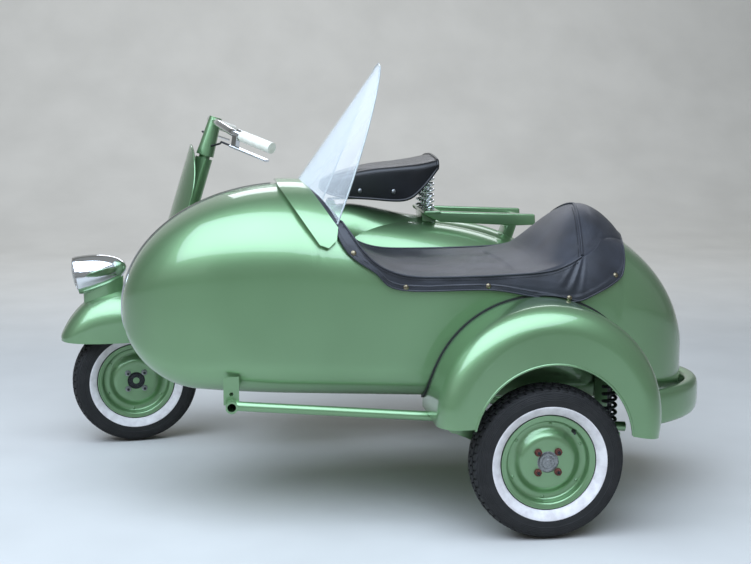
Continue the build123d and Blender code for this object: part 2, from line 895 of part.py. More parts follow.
with BuildPart() as fender:
    root, start, bend, end, lip = fender_line(0)
    root_in, start_in, bend_in, end_in, lip_in = fender_line(fender_sheet)
    with BuildSketch(fender_plane):
        with BuildLine():
            Line(root, start)
            ThreePointArc(start, bend, end)
            Polyline(end, lip, lip_in, end_in)
            ThreePointArc(end_in, bend_in, start_in)
            Polyline(start_in, root_in, root)
        make_face()
    revolve(axis=fender_axis, revolution_arc=fender_arc)
    with BuildSketch(Plane.XZ.offset(-side_wheel_y + tyre_width / 2 + 5)):
        with BuildLine():
            ThreePointArc(fender_mouth[0], fender_mouth[1], fender_mouth[2])
            Polyline(fender_mouth[2], (fender_mouth[2][0], 100), (fender_mouth[0][0], 100), fender_mouth[0])
        make_face()
    extrude(amount=60, mode=Mode.SUBTRACT)
    add(welt_skin, mode=Mode.SUBTRACT)
    with BuildSketch(Plane.XZ.offset(-rail_y + 40)):
        with Locations((fender_centre_x, 0)):
            Rectangle(1000, 2 * fender_low_z)
    extrude(amount=-200, both=False, mode=Mode.SUBTRACT)
    with BuildSketch(Plane(origin=(rail_start_x, rail_y, rail_front_z), z_dir=rail_way)):
        Circle(rail_radius + seat_gap)
    extrude(amount=rail_way.length, mode=Mode.SUBTRACT)
finish(fender, "sidecar_fender")

with BuildPart() as welt:
    with BuildSketch(fender_plane):
        with BuildLine():
            Polyline(
                (fender_inner_y, fender_radius + welt_lip),
                (welt_outer_y, fender_radius + welt_lip),
                (welt_outer_y, fender_radius - welt_root),
                (fender_inner_y, fender_radius - welt_root),
                close=True,
            )
        make_face()
    revolve(axis=fender_axis, revolution_arc=fender_arc)
    add(welt_skin, mode=Mode.INTERSECT)
    add(skin, mode=Mode.SUBTRACT)
finish(welt, "fender_welt")

# Sidecar chassis: an outer rail, an inner rail and cross tubes that reach the scooter
side_arm_y = side_wheel_y + arm_y
# Columns: x, near end y, far end y
cross_tubes = (
    (cross_front_x, cross_end_y, front_tube_reach_y),
    (cross_rear_x, side_arm_y - 4, rear_tube_reach_y),
)
with BuildPart() as cross_frame:
    for tube_x, near_y, far_y in cross_tubes:
        with BuildSketch(Plane.XZ.offset(-near_y)):
            with Locations((tube_x, rail_z(tube_x))):
                Circle(cross_radius)
                Circle(cross_bore_radius, mode=Mode.SUBTRACT)
        extrude(amount=near_y - far_y)
finish(cross_frame, "chassis_cross_tubes")


def cross_room(radius):
    with BuildPart() as room:
        for tube_x, near_y, far_y in cross_tubes:
            with BuildSketch(Plane.XZ.offset(-near_y)):
                with Locations((tube_x, rail_z(tube_x))):
                    Circle(radius)
            extrude(amount=near_y - far_y)
    return room.part


with BuildPart() as rails:
    for y in (rail_y, inner_rail_y):
        with BuildSketch(Plane(origin=(rail_start_x, y, rail_front_z), z_dir=rail_way)):
            Circle(rail_radius)
        extrude(amount=rail_way.length)
    add(cross_room(cross_radius), mode=Mode.SUBTRACT)
rails.part = Part(Compound(rails.part.solids().sort_by(SortBy.VOLUME)[-4:]).wrapped)
finish(rails, "chassis_rails")

# Coil spring behind the sidecar wheel and the arm that carries its stub axle
arm_sheet = 20
pivot_z = rail_z(cross_rear_x)
spring_x = side_wheel_x + 178
side_spring_y = side_arm_y + arm_sheet / 2 + 8
with BuildPart() as side_arm:
    with BuildSketch(axle_plane(side_wheel_x, side_wheel_y, backplate_y)):
        Circle(hub_plate_radius)
    extrude(amount=-backplate_sheet)
    with BuildSketch(axle_plane(side_wheel_x, side_wheel_y, arm_y)):
        with BuildLine():
            Polyline(
                (cross_rear_x - side_wheel_x, pivot_z - tyre_radius + 22),
                (0, 26),
                (spring_x - side_wheel_x - 24, 46),
                (spring_x - side_wheel_x + 24, 46),
                (spring_x - side_wheel_x + 24, 30),
                (20, -24),
                (-20, -26),
                (cross_rear_x - side_wheel_x, pivot_z - tyre_radius - 22),
                close=True,
            )
        make_face()
        with Locations((cross_rear_x - side_wheel_x, pivot_z - tyre_radius)):
            Circle(22)
            Circle(cross_radius + bearing_gap, mode=Mode.SUBTRACT)
    extrude(amount=-arm_sheet)
    with BuildSketch(Plane.XY.offset(tyre_radius + 36)):
        with Locations((spring_x, side_arm_y + 20)):
            Rectangle(48, 40)
    extrude(amount=10)
    with BuildSketch(axle_plane(side_wheel_x, side_wheel_y, arm_y)):
        Circle(axle_radius)
    extrude(amount=arm_y + hub_plate_reach + rim_sheet)
finish(side_arm, "sidecar_swing_arm")

side_spring_foot = tyre_radius + 46 + seat_gap
side_spring_top = 372
with BuildPart() as side_spring:
    coil_count = 8
    coil_pitch = (side_spring_top - side_spring_foot) / coil_count
    with BuildSketch(Plane.XZ.offset(-side_spring_y)):
        with BuildLine():
            points = [(spring_x, side_spring_foot)]
            for coil in range(coil_count):
                base = side_spring_foot + coil * coil_pitch
                points.append((spring_x + 14, base + 0.15 * coil_pitch))
                points.append((spring_x + 20, base + 0.5 * coil_pitch))
            points.append((spring_x + 14, side_spring_top))
            points.append((spring_x, side_spring_top))
            Polyline(*points, close=True)
        make_face()
    revolve(axis=Axis((spring_x, side_spring_y, 0), (0, 0, 1)))
finish(side_spring, "sidecar_spring")

# Bracket that holds the spring's top to the outer rail
with BuildPart() as spring_hanger:
    with BuildSketch(Plane.XY.offset(side_spring_top + seat_gap)):
        with Locations((spring_x, (rail_y + side_arm_y) / 2)):
            Rectangle(56, rail_y - side_arm_y + 46)
    extrude(amount=5)
    with BuildSketch(Plane.XY.offset(rail_z(spring_x))):
        with Locations((spring_x, rail_y + 6)):
            Rectangle(40, 12)
    extrude(amount=side_spring_top - rail_z(spring_x) + seat_gap)
    with BuildSketch(Plane(origin=(rail_start_x, rail_y, rail_front_z), z_dir=rail_way)):
        Circle(rail_radius)
    extrude(amount=rail_way.length, mode=Mode.SUBTRACT)
    add(welt_skin, mode=Mode.SUBTRACT)

# Plates that hold the body on its front cross tube
with BuildPart() as rail_room:
    for y in (rail_y, inner_rail_y):
        with BuildSketch(Plane(origin=(rail_start_x, y, rail_front_z), z_dir=rail_way)):
            Circle(rail_radius)
        extrude(amount=rail_way.length)

with BuildPart() as body_brackets:
    for y in (rail_y + 10, inner_rail_y - 10):
        with BuildSketch(Plane.XZ.offset(-y - 3)):
            with Locations((cross_front_x, rail_front_z + 35)):
                Rectangle(bracket_width, 70)
                with Locations((0, -8)):
                    Circle(5, mode=Mode.SUBTRACT)
        extrude(amount=6)
    with BuildSketch(Plane.XZ.offset(-cross_end_y)):
        with Locations((cross_front_x, rail_front_z)):
            Circle(cross_radius)
    extrude(amount=-800, mode=Mode.SUBTRACT)
    for y in (sidecar_y - seat_block_offset, sidecar_y + seat_block_offset):
        with BuildSketch(Plane.XY.offset(rail_z(cross_rear_x))):
            with Locations((cross_rear_x, y)):
                Rectangle(2 * cross_radius, 50)
        extrude(amount=60)
    add(cross_room(cross_radius), mode=Mode.SUBTRACT)
    add(rail_room.part, mode=Mode.SUBTRACT)
    add(skin, mode=Mode.SUBTRACT)

# Bumper bar round the tail, and the stays that carry it from the rail ends
def bumper_ring(reach, half):
    with BuildPart() as ring:
        with BuildSketch(Plane.XY.offset(bumper_z)):
            with Locations((tail_centre_x, sidecar_y)):
                Ellipse(reach, half)
        extrude(amount=bumper_height / 2, both=True)
    return ring.part


bumper_reach = tail_length + bumper_standoff + bumper_depth
bumper_span = body_half_width + bumper_side_standoff + bumper_depth
with BuildPart() as bumper:
    add(bumper_ring(bumper_reach, bumper_span))
    fillet(bumper.edges(), radius=11)
    add(bumper_ring(bumper_reach - bumper_depth, bumper_span - bumper_depth), mode=Mode.SUBTRACT)
    with BuildSketch(Plane.XY.offset(bumper_z)):
        with Locations((bumper_end_x - 600, sidecar_y)):
            Rectangle(1200, 1200)
    extrude(amount=bumper_height, both=True, mode=Mode.SUBTRACT)
finish(bumper, "sidecar_bumper")

with BuildPart() as bumper_stays:
    for side, rail_line in ((1, inner_rail_y), (-1, rail_y)):
        stay_y = sidecar_y + side * stay_offset
        with BuildSketch(Plane.XY.offset(rail_z(rail_end_x) + 4)):
            with BuildLine():
                Polyline(
                    (rail_end_x - 32, rail_line + stay_half),
                    (rail_end_x - 32, rail_line - stay_half),
                    (rail_end_x, rail_line - stay_half),
                    (bumper_end_x + 170, stay_y - stay_half),
                    (bumper_end_x + 170, stay_y + stay_half),
                    (rail_end_x, rail_line + stay_half),
                    close=True,
                )
            make_face()
        extrude(amount=6)
    add(bumper_ring(bumper_reach - bumper_depth, bumper_span - bumper_depth), mode=Mode.INTERSECT)
    for rail_line in (inner_rail_y, rail_y):
        with BuildSketch(Plane(origin=(rail_start_x, rail_line, rail_front_z), z_dir=rail_way)):
            Circle(rail_radius)
        extrude(amount=rail_way.length, mode=Mode.SUBTRACT)

with BuildPart() as sidecar_brackets:
    add(body_brackets.part)
    add(spring_hanger.part)
    add(bumper_stays.part)
sidecar_brackets.part = Part(
    Compound([piece for piece in sidecar_brackets.part.solids() if piece.volume > 100]).wrapped
)
finish(sidecar_brackets, "sidecar_brackets")

# Scooter body: a pressed shell open below, over the rear wheel
# Columns: x, half width, top z, bottom z
shell_rows = (
    (-96, 62, 690, 262),
    (-30, 95, 722, 270),
    (150, 120, 694, 310),
    (320, 125, 668, 340),
    (470, 112, 632, 360),
    (570, 85, 575, 390),
    (636, 40, 505, 430),
)


def shell(rows, inset, drop):
    with BuildPart() as solid:
        for x, half, top, bottom in rows:
            w = half - inset
            z = top - inset
            base = bottom - drop
            curve = min(w * 0.9, (z - base) * 0.45)
            rise = curve * 0.25
            with BuildSketch(Plane(origin=(x, scooter_y, 0), x_dir=(0, 1, 0), z_dir=(1, 0, 0))):
                with BuildLine():
                    Line((-w, base), (w, base))
                    Line((w, base), (w, z - curve))
                    ThreePointArc((w, z - curve), (w * 0.72, z - rise), (0, z))
                    ThreePointArc((0, z), (-w * 0.72, z - rise), (-w, z - curve))
                    Line((-w, z - curve), (-w, base))
                make_face()
        loft()
    return solid.part


body_sheet = 2.5
first_row, *middle_rows, last_row = shell_rows
body_inside_rows = (
    (first_row[0] + body_sheet, *first_row[1:]),
    *middle_rows,
    (last_row[0] - body_sheet, *last_row[1:]),
)
scooter_skin = shell(shell_rows, 0, 0)
with BuildPart() as rear_body:
    add(scooter_skin)
    add(shell(body_inside_rows, body_sheet, 40), mode=Mode.SUBTRACT)
    with BuildPart(mode=Mode.PRIVATE) as damper_beam:
        with BuildSketch(Plane.XY.offset(damper_top_z)):
            with Locations((rear_axle_x, scooter_y)):
                Rectangle(36, 300)
        extrude(amount=5)
        add(scooter_skin, mode=Mode.INTERSECT)
    add(damper_beam.part)
finish(rear_body, "rear_body")

# Bulging side cowls. Columns: x, reach from the body centre, top z, bottom z
cowl_rows = (
    (-20, 100, 640, 470),
    (60, 172, 672, 372),
    (200, 212, 672, 330),
    (360, 212, 648, 318),
    (500, 168, 600, 345),
    (590, 105, 540, 420),
)


def cowl_solid(inset, side):
    with BuildPart() as solid:
        for x, reach, top, bottom in cowl_rows:
            out = side * (reach - inset)
            z1 = bottom + inset
            z2 = top - inset
            root = side * cowl_root
            bulge = root + (out - root) * 0.74
            rise = (z2 - z1) * 0.16
            crest = (out, (z1 + z2) / 2)
            with BuildSketch(Plane(origin=(x, scooter_y, 0), x_dir=(0, 1, 0), z_dir=(1, 0, 0))):
                with BuildLine():
                    Line((root, z1), (root, z2))
                    ThreePointArc((root, z2), (bulge, z2 - rise), crest)
                    ThreePointArc(crest, (bulge, z1 + rise), (root, z1))
                make_face()
        loft()
    return solid.part


cowl_root = 60
for cowl_name, side in (("left_cowl", -1), ("right_cowl", 1)):
    with BuildPart() as cowl:
        add(cowl_solid(0, side))
        add(cowl_solid(body_sheet, side), mode=Mode.SUBTRACT)
        add(shell(shell_rows, -seat_gap, 60), mode=Mode.SUBTRACT)
        if side == 1:
            with BuildSketch(Plane.XZ.offset(-scooter_y - 300)):
                with GridLocations(louvre_pitch, 0, louvre_count, 1):
                    with Locations((280, 420)):
                        SlotOverall(120, 10, rotation=90)
            extrude(amount=200, mode=Mode.SUBTRACT)
    finish(cowl, cowl_name)

# Leg shield: a bowed sheet that leans with the head and tucks in to the floor
# Columns: offset from the centre line, sweep back of the sheet
shield_rows = ((-205, 62), (-110, 18), (0, 0), (110, 18), (205, 62))


def shield_solid(front, sheet):
    with BuildPart() as solid:
        for offset, sweep_back in shield_rows:
            with BuildSketch(Plane.XZ.offset(-scooter_y - offset)):
                with BuildLine():
                    x = front + sweep_back
                    Line((x + 83, 915), (x, 650))
                    ThreePointArc((x, 650), (x + 42, 460), (x + 150, shield_foot_z))
                    Line((x + 150, shield_foot_z), (x + 150 + sheet, shield_foot_z))
                    ThreePointArc((x + 150 + sheet, shield_foot_z), (x + 42 + sheet, 461), (x + sheet, 650))
                    Polyline((x + sheet, 650), (x + 83 + sheet, 915), (x + 83, 915))
                make_face()
        loft(ruled=False)
    return solid.part


with BuildPart() as leg_shield:
    add(shield_solid(shield_front_x, shield_sheet))
    with BuildSketch(Plane.YZ.offset(-800)):
        with BuildLine():
            Polyline((scooter_y - 175, 270), (scooter_y - 200, 470), (scooter_y - 178, 760))
            ThreePointArc((scooter_y - 178, 760), (scooter_y - 128, 868), (scooter_y, 907))
            ThreePointArc((scooter_y, 907), (scooter_y + 128, 868), (scooter_y + 178, 760))
            Polyline(
                (scooter_y + 178, 760),
                (scooter_y + 200, 470),
                (scooter_y + 175, 270),
                (scooter_y - 175, 270),
            )
        make_face()
    extrude(amount=900, mode=Mode.INTERSECT)
    with BuildSketch(Plane(axis_point(head_tube_bottom - 60), z_dir=steer_axis.direction)):
        Circle(head_tube_radius + seat_gap)
    extrude(amount=520, mode=Mode.SUBTRACT)
finish(leg_shield, "leg_shield")

# Floorboard with its central tunnel, and the treads laid on it
floor_sheet = 2.5
floor_top = shield_foot_z
floor_front_x = shield_front_x + 150
scooter_room = shell(shell_rows, -seat_gap, 60)
with BuildPart() as floorboard:
    with BuildSketch(Plane.XY.offset(floor_top - floor_sheet)):
        with BuildLine():
            Polyline(
                (floor_front_x - 4, scooter_y - 60),
                (floor_front_x + 60, scooter_y - 190),
                (-120, scooter_y - 196),
                (20, scooter_y - 150),
                (20, scooter_y + 150),
                (-120, scooter_y + 196),
                (floor_front_x + 60, scooter_y + 190),
                (floor_front_x - 4, scooter_y + 60),
                close=True,
            )
        make_face()
    extrude(amount=floor_sheet)
    with BuildSketch(Plane.XY.offset(floor_top - 34)):
        with Locations(((floor_front_x - 96) / 2, scooter_y)):
            Rectangle(-96 - floor_front_x - 2 * seat_gap, 2 * spine_half)
    extrude(amount=34)
    add(scooter_room, mode=Mode.SUBTRACT)
finish(floorboard, "floorboard")

with BuildPart() as treads:
    for offset in (-150, -115, -80, 80, 115, 150):
        with BuildSketch(Plane.XY.offset(floor_top)):
            with Locations((-215, scooter_y + offset)):
                Rectangle(220, 12)
        extrude(amount=5)
finish(treads, "floor_treads")

# Engine block, the arm that carries it and the rear axle, damper and silencer
with BuildPart() as engine_arm:
    with BuildSketch(axle_plane(rear_axle_x, scooter_y, backplate_y)):
        Circle(hub_plate_radius)
    extrude(amount=-backplate_sheet)
    with BuildSketch(axle_plane(rear_axle_x, scooter_y, arm_y)):
        with BuildLine():
            Polyline(
                (engine_pivot_x - rear_axle_x - 20, engine_pivot_z - tyre_radius + 18),
                (engine_pivot_x - rear_axle_x + 20, engine_pivot_z - tyre_radius + 24),
                (-24, damper_seat),
                (24, damper_seat),
                (34, 20),
                (30, -30),
                (-60, -40),
                (engine_pivot_x - rear_axle_x, engine_pivot_z - tyre_radius - 26),
                close=True,
            )
        make_face()
        with Locations((engine_pivot_x - rear_axle_x, engine_pivot_z - tyre_radius)):
            Circle(engine_pin_radius + bearing_gap, mode=Mode.SUBTRACT)
    extrude(amount=-engine_arm_thick)
    with BuildSketch(axle_plane(rear_axle_x, scooter_y, arm_y)):
        Circle(axle_radius)
    extrude(amount=arm_y + hub_plate_reach + rim_sheet)
finish(engine_arm, "engine_arm")

engine_y = scooter_y + arm_y + engine_arm_thick
with BuildPart() as engine_block:
    with BuildSketch(Plane.XY.offset(140)):
        with Locations((385, engine_y + 62)):
            Rectangle(170, 124)
    extrude(amount=170)
    chamfer(engine_block.edges().filter_by(Axis.Y), 20)
finish(engine_block, "engine_block")

with BuildPart() as engine_mount:
    with BuildSketch(Plane.XZ.offset(-scooter_y + 100)):
        with Locations((engine_pivot_x, engine_pivot_z)):
            Circle(engine_pin_radius)
    extrude(amount=-200)
    for offset in (-100, 94):
        with BuildSketch(Plane.XZ.offset(-scooter_y - offset)):
            with Locations((engine_pivot_x, engine_pivot_z + 70)):
                Rectangle(60, 170)
        extrude(amount=-6)
    add(shell(body_inside_rows, body_sheet + seat_gap, 80), mode=Mode.INTERSECT)

with BuildPart() as rear_damper:
    damper_y = scooter_y + tyre_width / 2 + damper_radius + 5
    with BuildSketch(Plane.XY.offset(tyre_radius + damper_seat + seat_gap)):
        with Locations((rear_axle_x, damper_y)):
            Circle(damper_radius - 8)
    extrude(amount=60)
    with BuildSketch(Plane.XY.offset(tyre_radius + damper_seat + 50)):
        with Locations((rear_axle_x, damper_y)):
            Circle(damper_radius)
    extrude(amount=damper_top_z - tyre_radius - damper_seat - 50 - seat_gap)
finish(rear_damper, "rear_damper")

with BuildPart() as silencer:
    with BuildSketch(Plane.YZ.offset(300)):
        with Locations((engine_y + 60, 102)):
            Ellipse(52, 32)
    extrude(amount=210)
    fillet(silencer.edges(), 9)
    with BuildSketch(Plane.XY.offset(120)):
        with Locations((340, engine_y + 60)):
            Circle(14)
    extrude(amount=20)
    with BuildSketch(Plane.YZ.offset(505)):
        with Locations((engine_y + 60, 96)):
            Circle(11)
    extrude(amount=60)
finish(silencer, "silencer")

with BuildPart() as kick_starter:
    with BuildSketch(Plane.XZ.offset(-engine_y - 124)):
        with Locations((370, 225)):
            Circle(11)
    extrude(amount=-28)
    with BuildSketch(Plane.XZ.offset(-engine_y - 138)):
        with BuildLine():
            Polyline((362, 214), (380, 216), (468, 286), (458, 298), (360, 236), close=True)
        make_face()
    extrude(amount=-12)
    with BuildSketch(Plane.XZ.offset(-engine_y - 138)):
        with Locations((460, 288)):
            Circle(9)
    extrude(amount=-60)

with BuildPart() as brake_pedal:
    with BuildSketch(Plane.XY.offset(floor_top)):
        with Locations((-345, scooter_y + 118)):
            Rectangle(14, 14)
    extrude(amount=26)
    with BuildSketch(Plane(origin=(-345, scooter_y + 118, floor_top + 26), z_dir=(0.35, 0, 1))):
        RectangleRounded(70, 44, 8)
    extrude(amount=6)

with BuildPart() as foot_controls:
    add(kick_starter.part)
    add(brake_pedal.part)
finish(foot_controls, "foot_controls")

# Saddle: pad, sprung frame, four coil springs and the hinge at its nose
# Columns: x, half width, top z, bottom z
saddle_rows = (
    (-96, 22, 798, 772),
    (-45, 58, 822, 752),
    (50, 104, 846, 746),
    (150, 142, 858, 744),
    (200, 148, 864, 776),
    (252, 140, 874, 838),
)


def saddle_solid(inset, sink, drop, overrun):
    with BuildPart() as solid:
        for place, (x, half, top, bottom) in enumerate(saddle_rows):
            w = half - inset
            z = top - sink
            ahead = overrun if place == len(saddle_rows) - 1 else 0
            with BuildSketch(
                Plane(origin=(x + ahead, scooter_y, 0), x_dir=(0, 1, 0), z_dir=(1, 0, 0))
            ):
                with BuildLine():
                    Polyline((-w, z - 14), (-w, bottom - drop), (w, bottom - drop), (w, z - 14))
                    ThreePointArc((w, z - 14), (0, z), (-w, z - 14))
                make_face()
        loft(ruled=True)
    return solid.part


with BuildPart() as saddle:
    add(saddle_solid(0, 0, 0, 0))
    with BuildPart(mode=Mode.PRIVATE) as under:
        add(saddle_solid(saddle_wall, saddle_depth, 60, 20))
        with BuildSketch(Plane.XY.offset(600)):
            with Locations((200, scooter_y)):
                Rectangle(420, 400)
        extrude(amount=400, mode=Mode.INTERSECT)
    add(under.part, mode=Mode.SUBTRACT)
finish(saddle, "saddle_pad")

hinge_x = -60
hinge_z = 728
with BuildPart() as saddle_frame:
    with BuildSketch(Plane.XY.offset(saddle_frame_z)):
        with BuildLine():
            Polyline(
                (hinge_x - 8, scooter_y - 12),
                (60, scooter_y - 20),
                (140, scooter_y - 110),
                (140, scooter_y + 110),
                (60, scooter_y + 20),
                (hinge_x - 8, scooter_y + 12),
                close=True,
            )
        make_face()
    extrude(amount=4)
    with BuildSketch(Plane.XZ.offset(-scooter_y + 12)):
        with Locations((hinge_x, hinge_z)):
            Circle(10.5)
            Circle(4 + bearing_gap, mode=Mode.SUBTRACT)
    extrude(amount=-24)
    with BuildSketch(Plane.XY.offset(spring_top_z)):
        with Locations((spring_row_x, scooter_y)):
            Rectangle(30, 210)
    extrude(amount=4)
    with BuildSketch(Plane.XZ.offset(-scooter_y + 10)):
        with BuildLine():
            Polyline(
                (120, saddle_frame_z),
                (140, saddle_frame_z),
                (spring_row_x + 5, spring_top_z),
                (spring_row_x - 12, spring_top_z + 3),
                (120, saddle_frame_z + 4),
                close=True,
            )
        make_face()
    extrude(amount=-20)
finish(saddle_frame, "saddle_frame")

with BuildPart() as hinge_bracket:
    for offset in (-18, 13):
        with BuildSketch(Plane.XZ.offset(-scooter_y - offset)):
            with BuildLine():
                Polyline(
                    (hinge_x - 10, hinge_z + 8),
                    (hinge_x - 24, 690),
                    (hinge_x + 30, 690),
                    (hinge_x + 10, hinge_z + 8),
                    close=True,
                )
            make_face()
        extrude(amount=-5)
    with BuildSketch(Plane.XZ.offset(-scooter_y + 18)):
        with Locations((hinge_x, hinge_z)):
            Circle(4)
    extrude(amount=-36)
    add(scooter_skin, mode=Mode.SUBTRACT)

with BuildPart() as saddle_springs:
    for offset in (-80, -27, 27, 80):
        turn = (spring_top_z - seat_gap - rack_top - seat_gap) / saddle_coils
        foot = rack_top + seat_gap
        with BuildSketch(Plane.XZ.offset(-scooter_y - offset)):
            with BuildLine():
                points = [(spring_row_x, foot)]
                for coil in range(saddle_coils):
                    points.append((spring_row_x + 12, foot + (coil + 0.1) * turn))
                    points.append((spring_row_x + 17, foot + (coil + 0.5) * turn))
                points.append((spring_row_x + 12, spring_top_z - seat_gap))
                points.append((spring_row_x, spring_top_z - seat_gap))
                Polyline(*points, close=True)
            make_face()
        revolve(axis=Axis((spring_row_x, scooter_y + offset, 0), (0, 0, 1)))
finish(saddle_springs, "saddle_springs")

# Rear carrier: two rails on a front plate and a tail stay
with BuildPart() as rack:
    with BuildSketch(Plane.XY.offset(rack_top - 8)):
        with Locations((spring_row_x + 4, scooter_y)):
            Rectangle(52, 236)
    extrude(amount=8)
    for offset in (-rack_half, rack_half):
        with BuildSketch(Plane.XZ.offset(-scooter_y - offset + rack_rail_width / 2)):
            with BuildLine():
                Polyline(
                    (spring_row_x - 22, rack_top),
                    (rack_end_x, rack_top - rack_fall),
                    (rack_end_x, rack_top - rack_fall - rack_rail_height),
                    (spring_row_x + 30, rack_top - rack_rail_height),
                    (spring_row_x - 22, rack_top - 8),
                    close=True,
                )
            make_face()
        extrude(amount=-rack_rail_width)
    with BuildSketch(Plane.XZ.offset(-scooter_y + rack_half)):
        with BuildLine():
            Polyline(
                (rack_end_x - 44, rack_top - rack_fall - 6),
                (rack_end_x - 20, rack_top - rack_fall - 8),
                (rack_end_x - 20, rack_top - rack_fall - rack_rail_height),
                (rack_end_x - 44, rack_top - rack_fall - rack_rail_height),
                close=True,
            )
        make_face()
    extrude(amount=-2 * rack_half)
    with BuildSketch(Plane.XZ.offset(-scooter_y + 40)):
        with BuildLine():
            Polyline(
                (rack_end_x - 60, rack_top - rack_fall - 14),
                (rack_end_x - 30, rack_top - rack_fall - 14),
                (rack_end_x - 70, 560),
                (rack_end_x - 110, 560),
                close=True,
            )
        make_face()
    extrude(amount=-80)
    with BuildSketch(Plane.XZ.offset(-scooter_y + 60)):
        with BuildLine():
            Polyline(
                (spring_row_x - 20, rack_top - 8),
                (spring_row_x + 28, rack_top - 8),
                (spring_row_x + 20, 600),
                (spring_row_x - 10, 600),
                close=True,
            )
        make_face()
    extrude(amount=-120)
    add(scooter_skin, mode=Mode.SUBTRACT)
finish(rack, "rear_rack")

with BuildPart() as tail_lamp:
    with BuildSketch(Plane.YZ.offset(580)):
        with Locations((scooter_y, 520)):
            RectangleRounded(56, 70, 14)
    extrude(amount=100)
    chamfer(tail_lamp.faces().sort_by(Axis.X)[-1].edges(), 8)
    add(scooter_skin, mode=Mode.SUBTRACT)
tail_lamp.part = Part(tail_lamp.part.solids().sort_by(Axis.X)[-1].wrapped)
finish(tail_lamp, "tail_lamp")

# Clamps that tie the sidecar's cross tubes to the scooter
with BuildPart() as front_clamp:
    with BuildSketch(Plane.XZ.offset(-front_tube_reach_y)):
        with Locations((cross_front_x, rail_front_z - 15)):
            Rectangle(50, 62)
    extrude(amount=-6)
    with BuildSketch(Plane.XY.offset(floor_top - floor_sheet - 6)):
        with Locations((cross_front_x + 20, (front_tube_reach_y + scooter_y - spine_half) / 2)):
            Rectangle(90, scooter_y - spine_half - front_tube_reach_y)
    extrude(amount=6)

with BuildPart() as rear_clamp:
    with BuildSketch(Plane.XZ.offset(-rear_tube_reach_y)):
        with Locations((cross_rear_x, 328)):
            Rectangle(44, 150)
    extrude(amount=-6)

with BuildPart() as scooter_brackets:
    add(engine_mount.part)
    add(hinge_bracket.part)
    add(front_clamp.part)
    add(rear_clamp.part)
finish(scooter_brackets, "scooter_brackets")

# Upper strut from the inner rail to the scooter's side
with BuildPart() as strut:
    strut_foot = Vector(strut_x, inner_rail_y, rail_z(strut_x))
    strut_way = Vector(0, scooter_y - inner_rail_y, strut_head_z - rail_z(strut_x))
    with BuildSketch(Plane(origin=strut_foot, z_dir=strut_way)):
        Circle(11)
    extrude(amount=strut_way.length)
    add(rail_room.part, mode=Mode.SUBTRACT)
    add(scooter_skin, mode=Mode.SUBTRACT)
strut.part = Part(strut.part.solids().sort_by(SortBy.VOLUME)[-1].wrapped)
finish(strut, "chassis_strut")
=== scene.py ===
# %% [markdown]
# A classic small-wheeled motor scooter with a bullet-shaped sidecar, in pale green metallic enamel.
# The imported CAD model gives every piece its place. This notebook dresses it: smooth pressed panels,
# whitewall tyres with a tread, black vinyl and leather, chrome, a clear screen and coil springs.

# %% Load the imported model
import json
from math import asin, atan2, cos, exp, pi, radians, sin, sqrt

import bmesh
import bpy
from mathutils import Matrix, Vector

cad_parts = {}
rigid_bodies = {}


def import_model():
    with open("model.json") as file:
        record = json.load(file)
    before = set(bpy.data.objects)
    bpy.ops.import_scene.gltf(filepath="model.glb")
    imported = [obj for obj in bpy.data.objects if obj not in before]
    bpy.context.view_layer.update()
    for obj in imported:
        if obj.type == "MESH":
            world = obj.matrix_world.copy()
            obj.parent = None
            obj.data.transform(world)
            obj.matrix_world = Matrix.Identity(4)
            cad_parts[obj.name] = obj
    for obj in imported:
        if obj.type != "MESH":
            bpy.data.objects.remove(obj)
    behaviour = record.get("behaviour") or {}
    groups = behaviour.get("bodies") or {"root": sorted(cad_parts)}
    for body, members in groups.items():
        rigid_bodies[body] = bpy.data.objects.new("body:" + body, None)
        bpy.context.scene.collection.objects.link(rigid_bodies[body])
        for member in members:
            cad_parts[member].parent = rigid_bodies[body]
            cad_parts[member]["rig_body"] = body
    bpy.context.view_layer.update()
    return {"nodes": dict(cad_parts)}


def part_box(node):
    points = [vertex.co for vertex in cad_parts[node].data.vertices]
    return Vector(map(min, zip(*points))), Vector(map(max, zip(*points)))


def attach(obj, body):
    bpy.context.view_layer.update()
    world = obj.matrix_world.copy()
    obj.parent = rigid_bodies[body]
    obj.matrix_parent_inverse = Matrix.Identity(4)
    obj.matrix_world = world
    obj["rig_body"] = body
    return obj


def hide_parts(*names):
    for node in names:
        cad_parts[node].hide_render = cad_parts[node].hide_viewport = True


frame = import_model()
nodes = frame["nodes"]
mm = 0.001
print("CAD nodes:", len(nodes))

# %% [markdown]
# Every material starts from what the real surface is. Colours are written as the hex values that a
# screen shows, so one function turns them into the linear numbers that the shader works with.
# A second function adds a node with its settings and links, and everything below is built with it.


# %% Colour and node helpers
def colour(code):
    channels = [int(code[i:i + 2], 16) / 255 for i in (0, 2, 4)]
    linear = [c / 12.92 if c <= 0.04045 else ((c + 0.055) / 1.055) ** 2.4 for c in channels]
    return (*linear, 1.0)


def add_node(material, kind, settings=None, links=None):
    """Adds a node; settings fill its sockets or properties, links join sockets to other nodes."""
    node = material.node_tree.nodes.new(kind)
    for name, value in (settings or {}).items():
        if name in node.inputs:
            node.inputs[name].default_value = value
        else:
            setattr(node, name, value)
    for name, source in (links or {}).items():
        material.node_tree.links.new(source, node.inputs[name])
    return node


def surface(name, settings):
    """A material with one Principled surface; returns the material and its shader node."""
    material = bpy.data.materials.new(name)
    material.use_nodes = True
    shader = material.node_tree.nodes["Principled BSDF"]
    for socket, value in settings.items():
        shader.inputs[socket].default_value = value
    return material, shader


def connect(material, source, target):
    material.node_tree.links.new(source, target)


def speckle(material, grain, detail=2.0):
    """Noise read from the object's own coordinates; grain is the size of one speck in metres."""
    place = add_node(material, "ShaderNodeTexCoord")
    return add_node(
        material, "ShaderNodeTexNoise", {"Scale": 1 / grain, "Detail": detail},
        {"Vector": place.outputs["Object"]},
    )


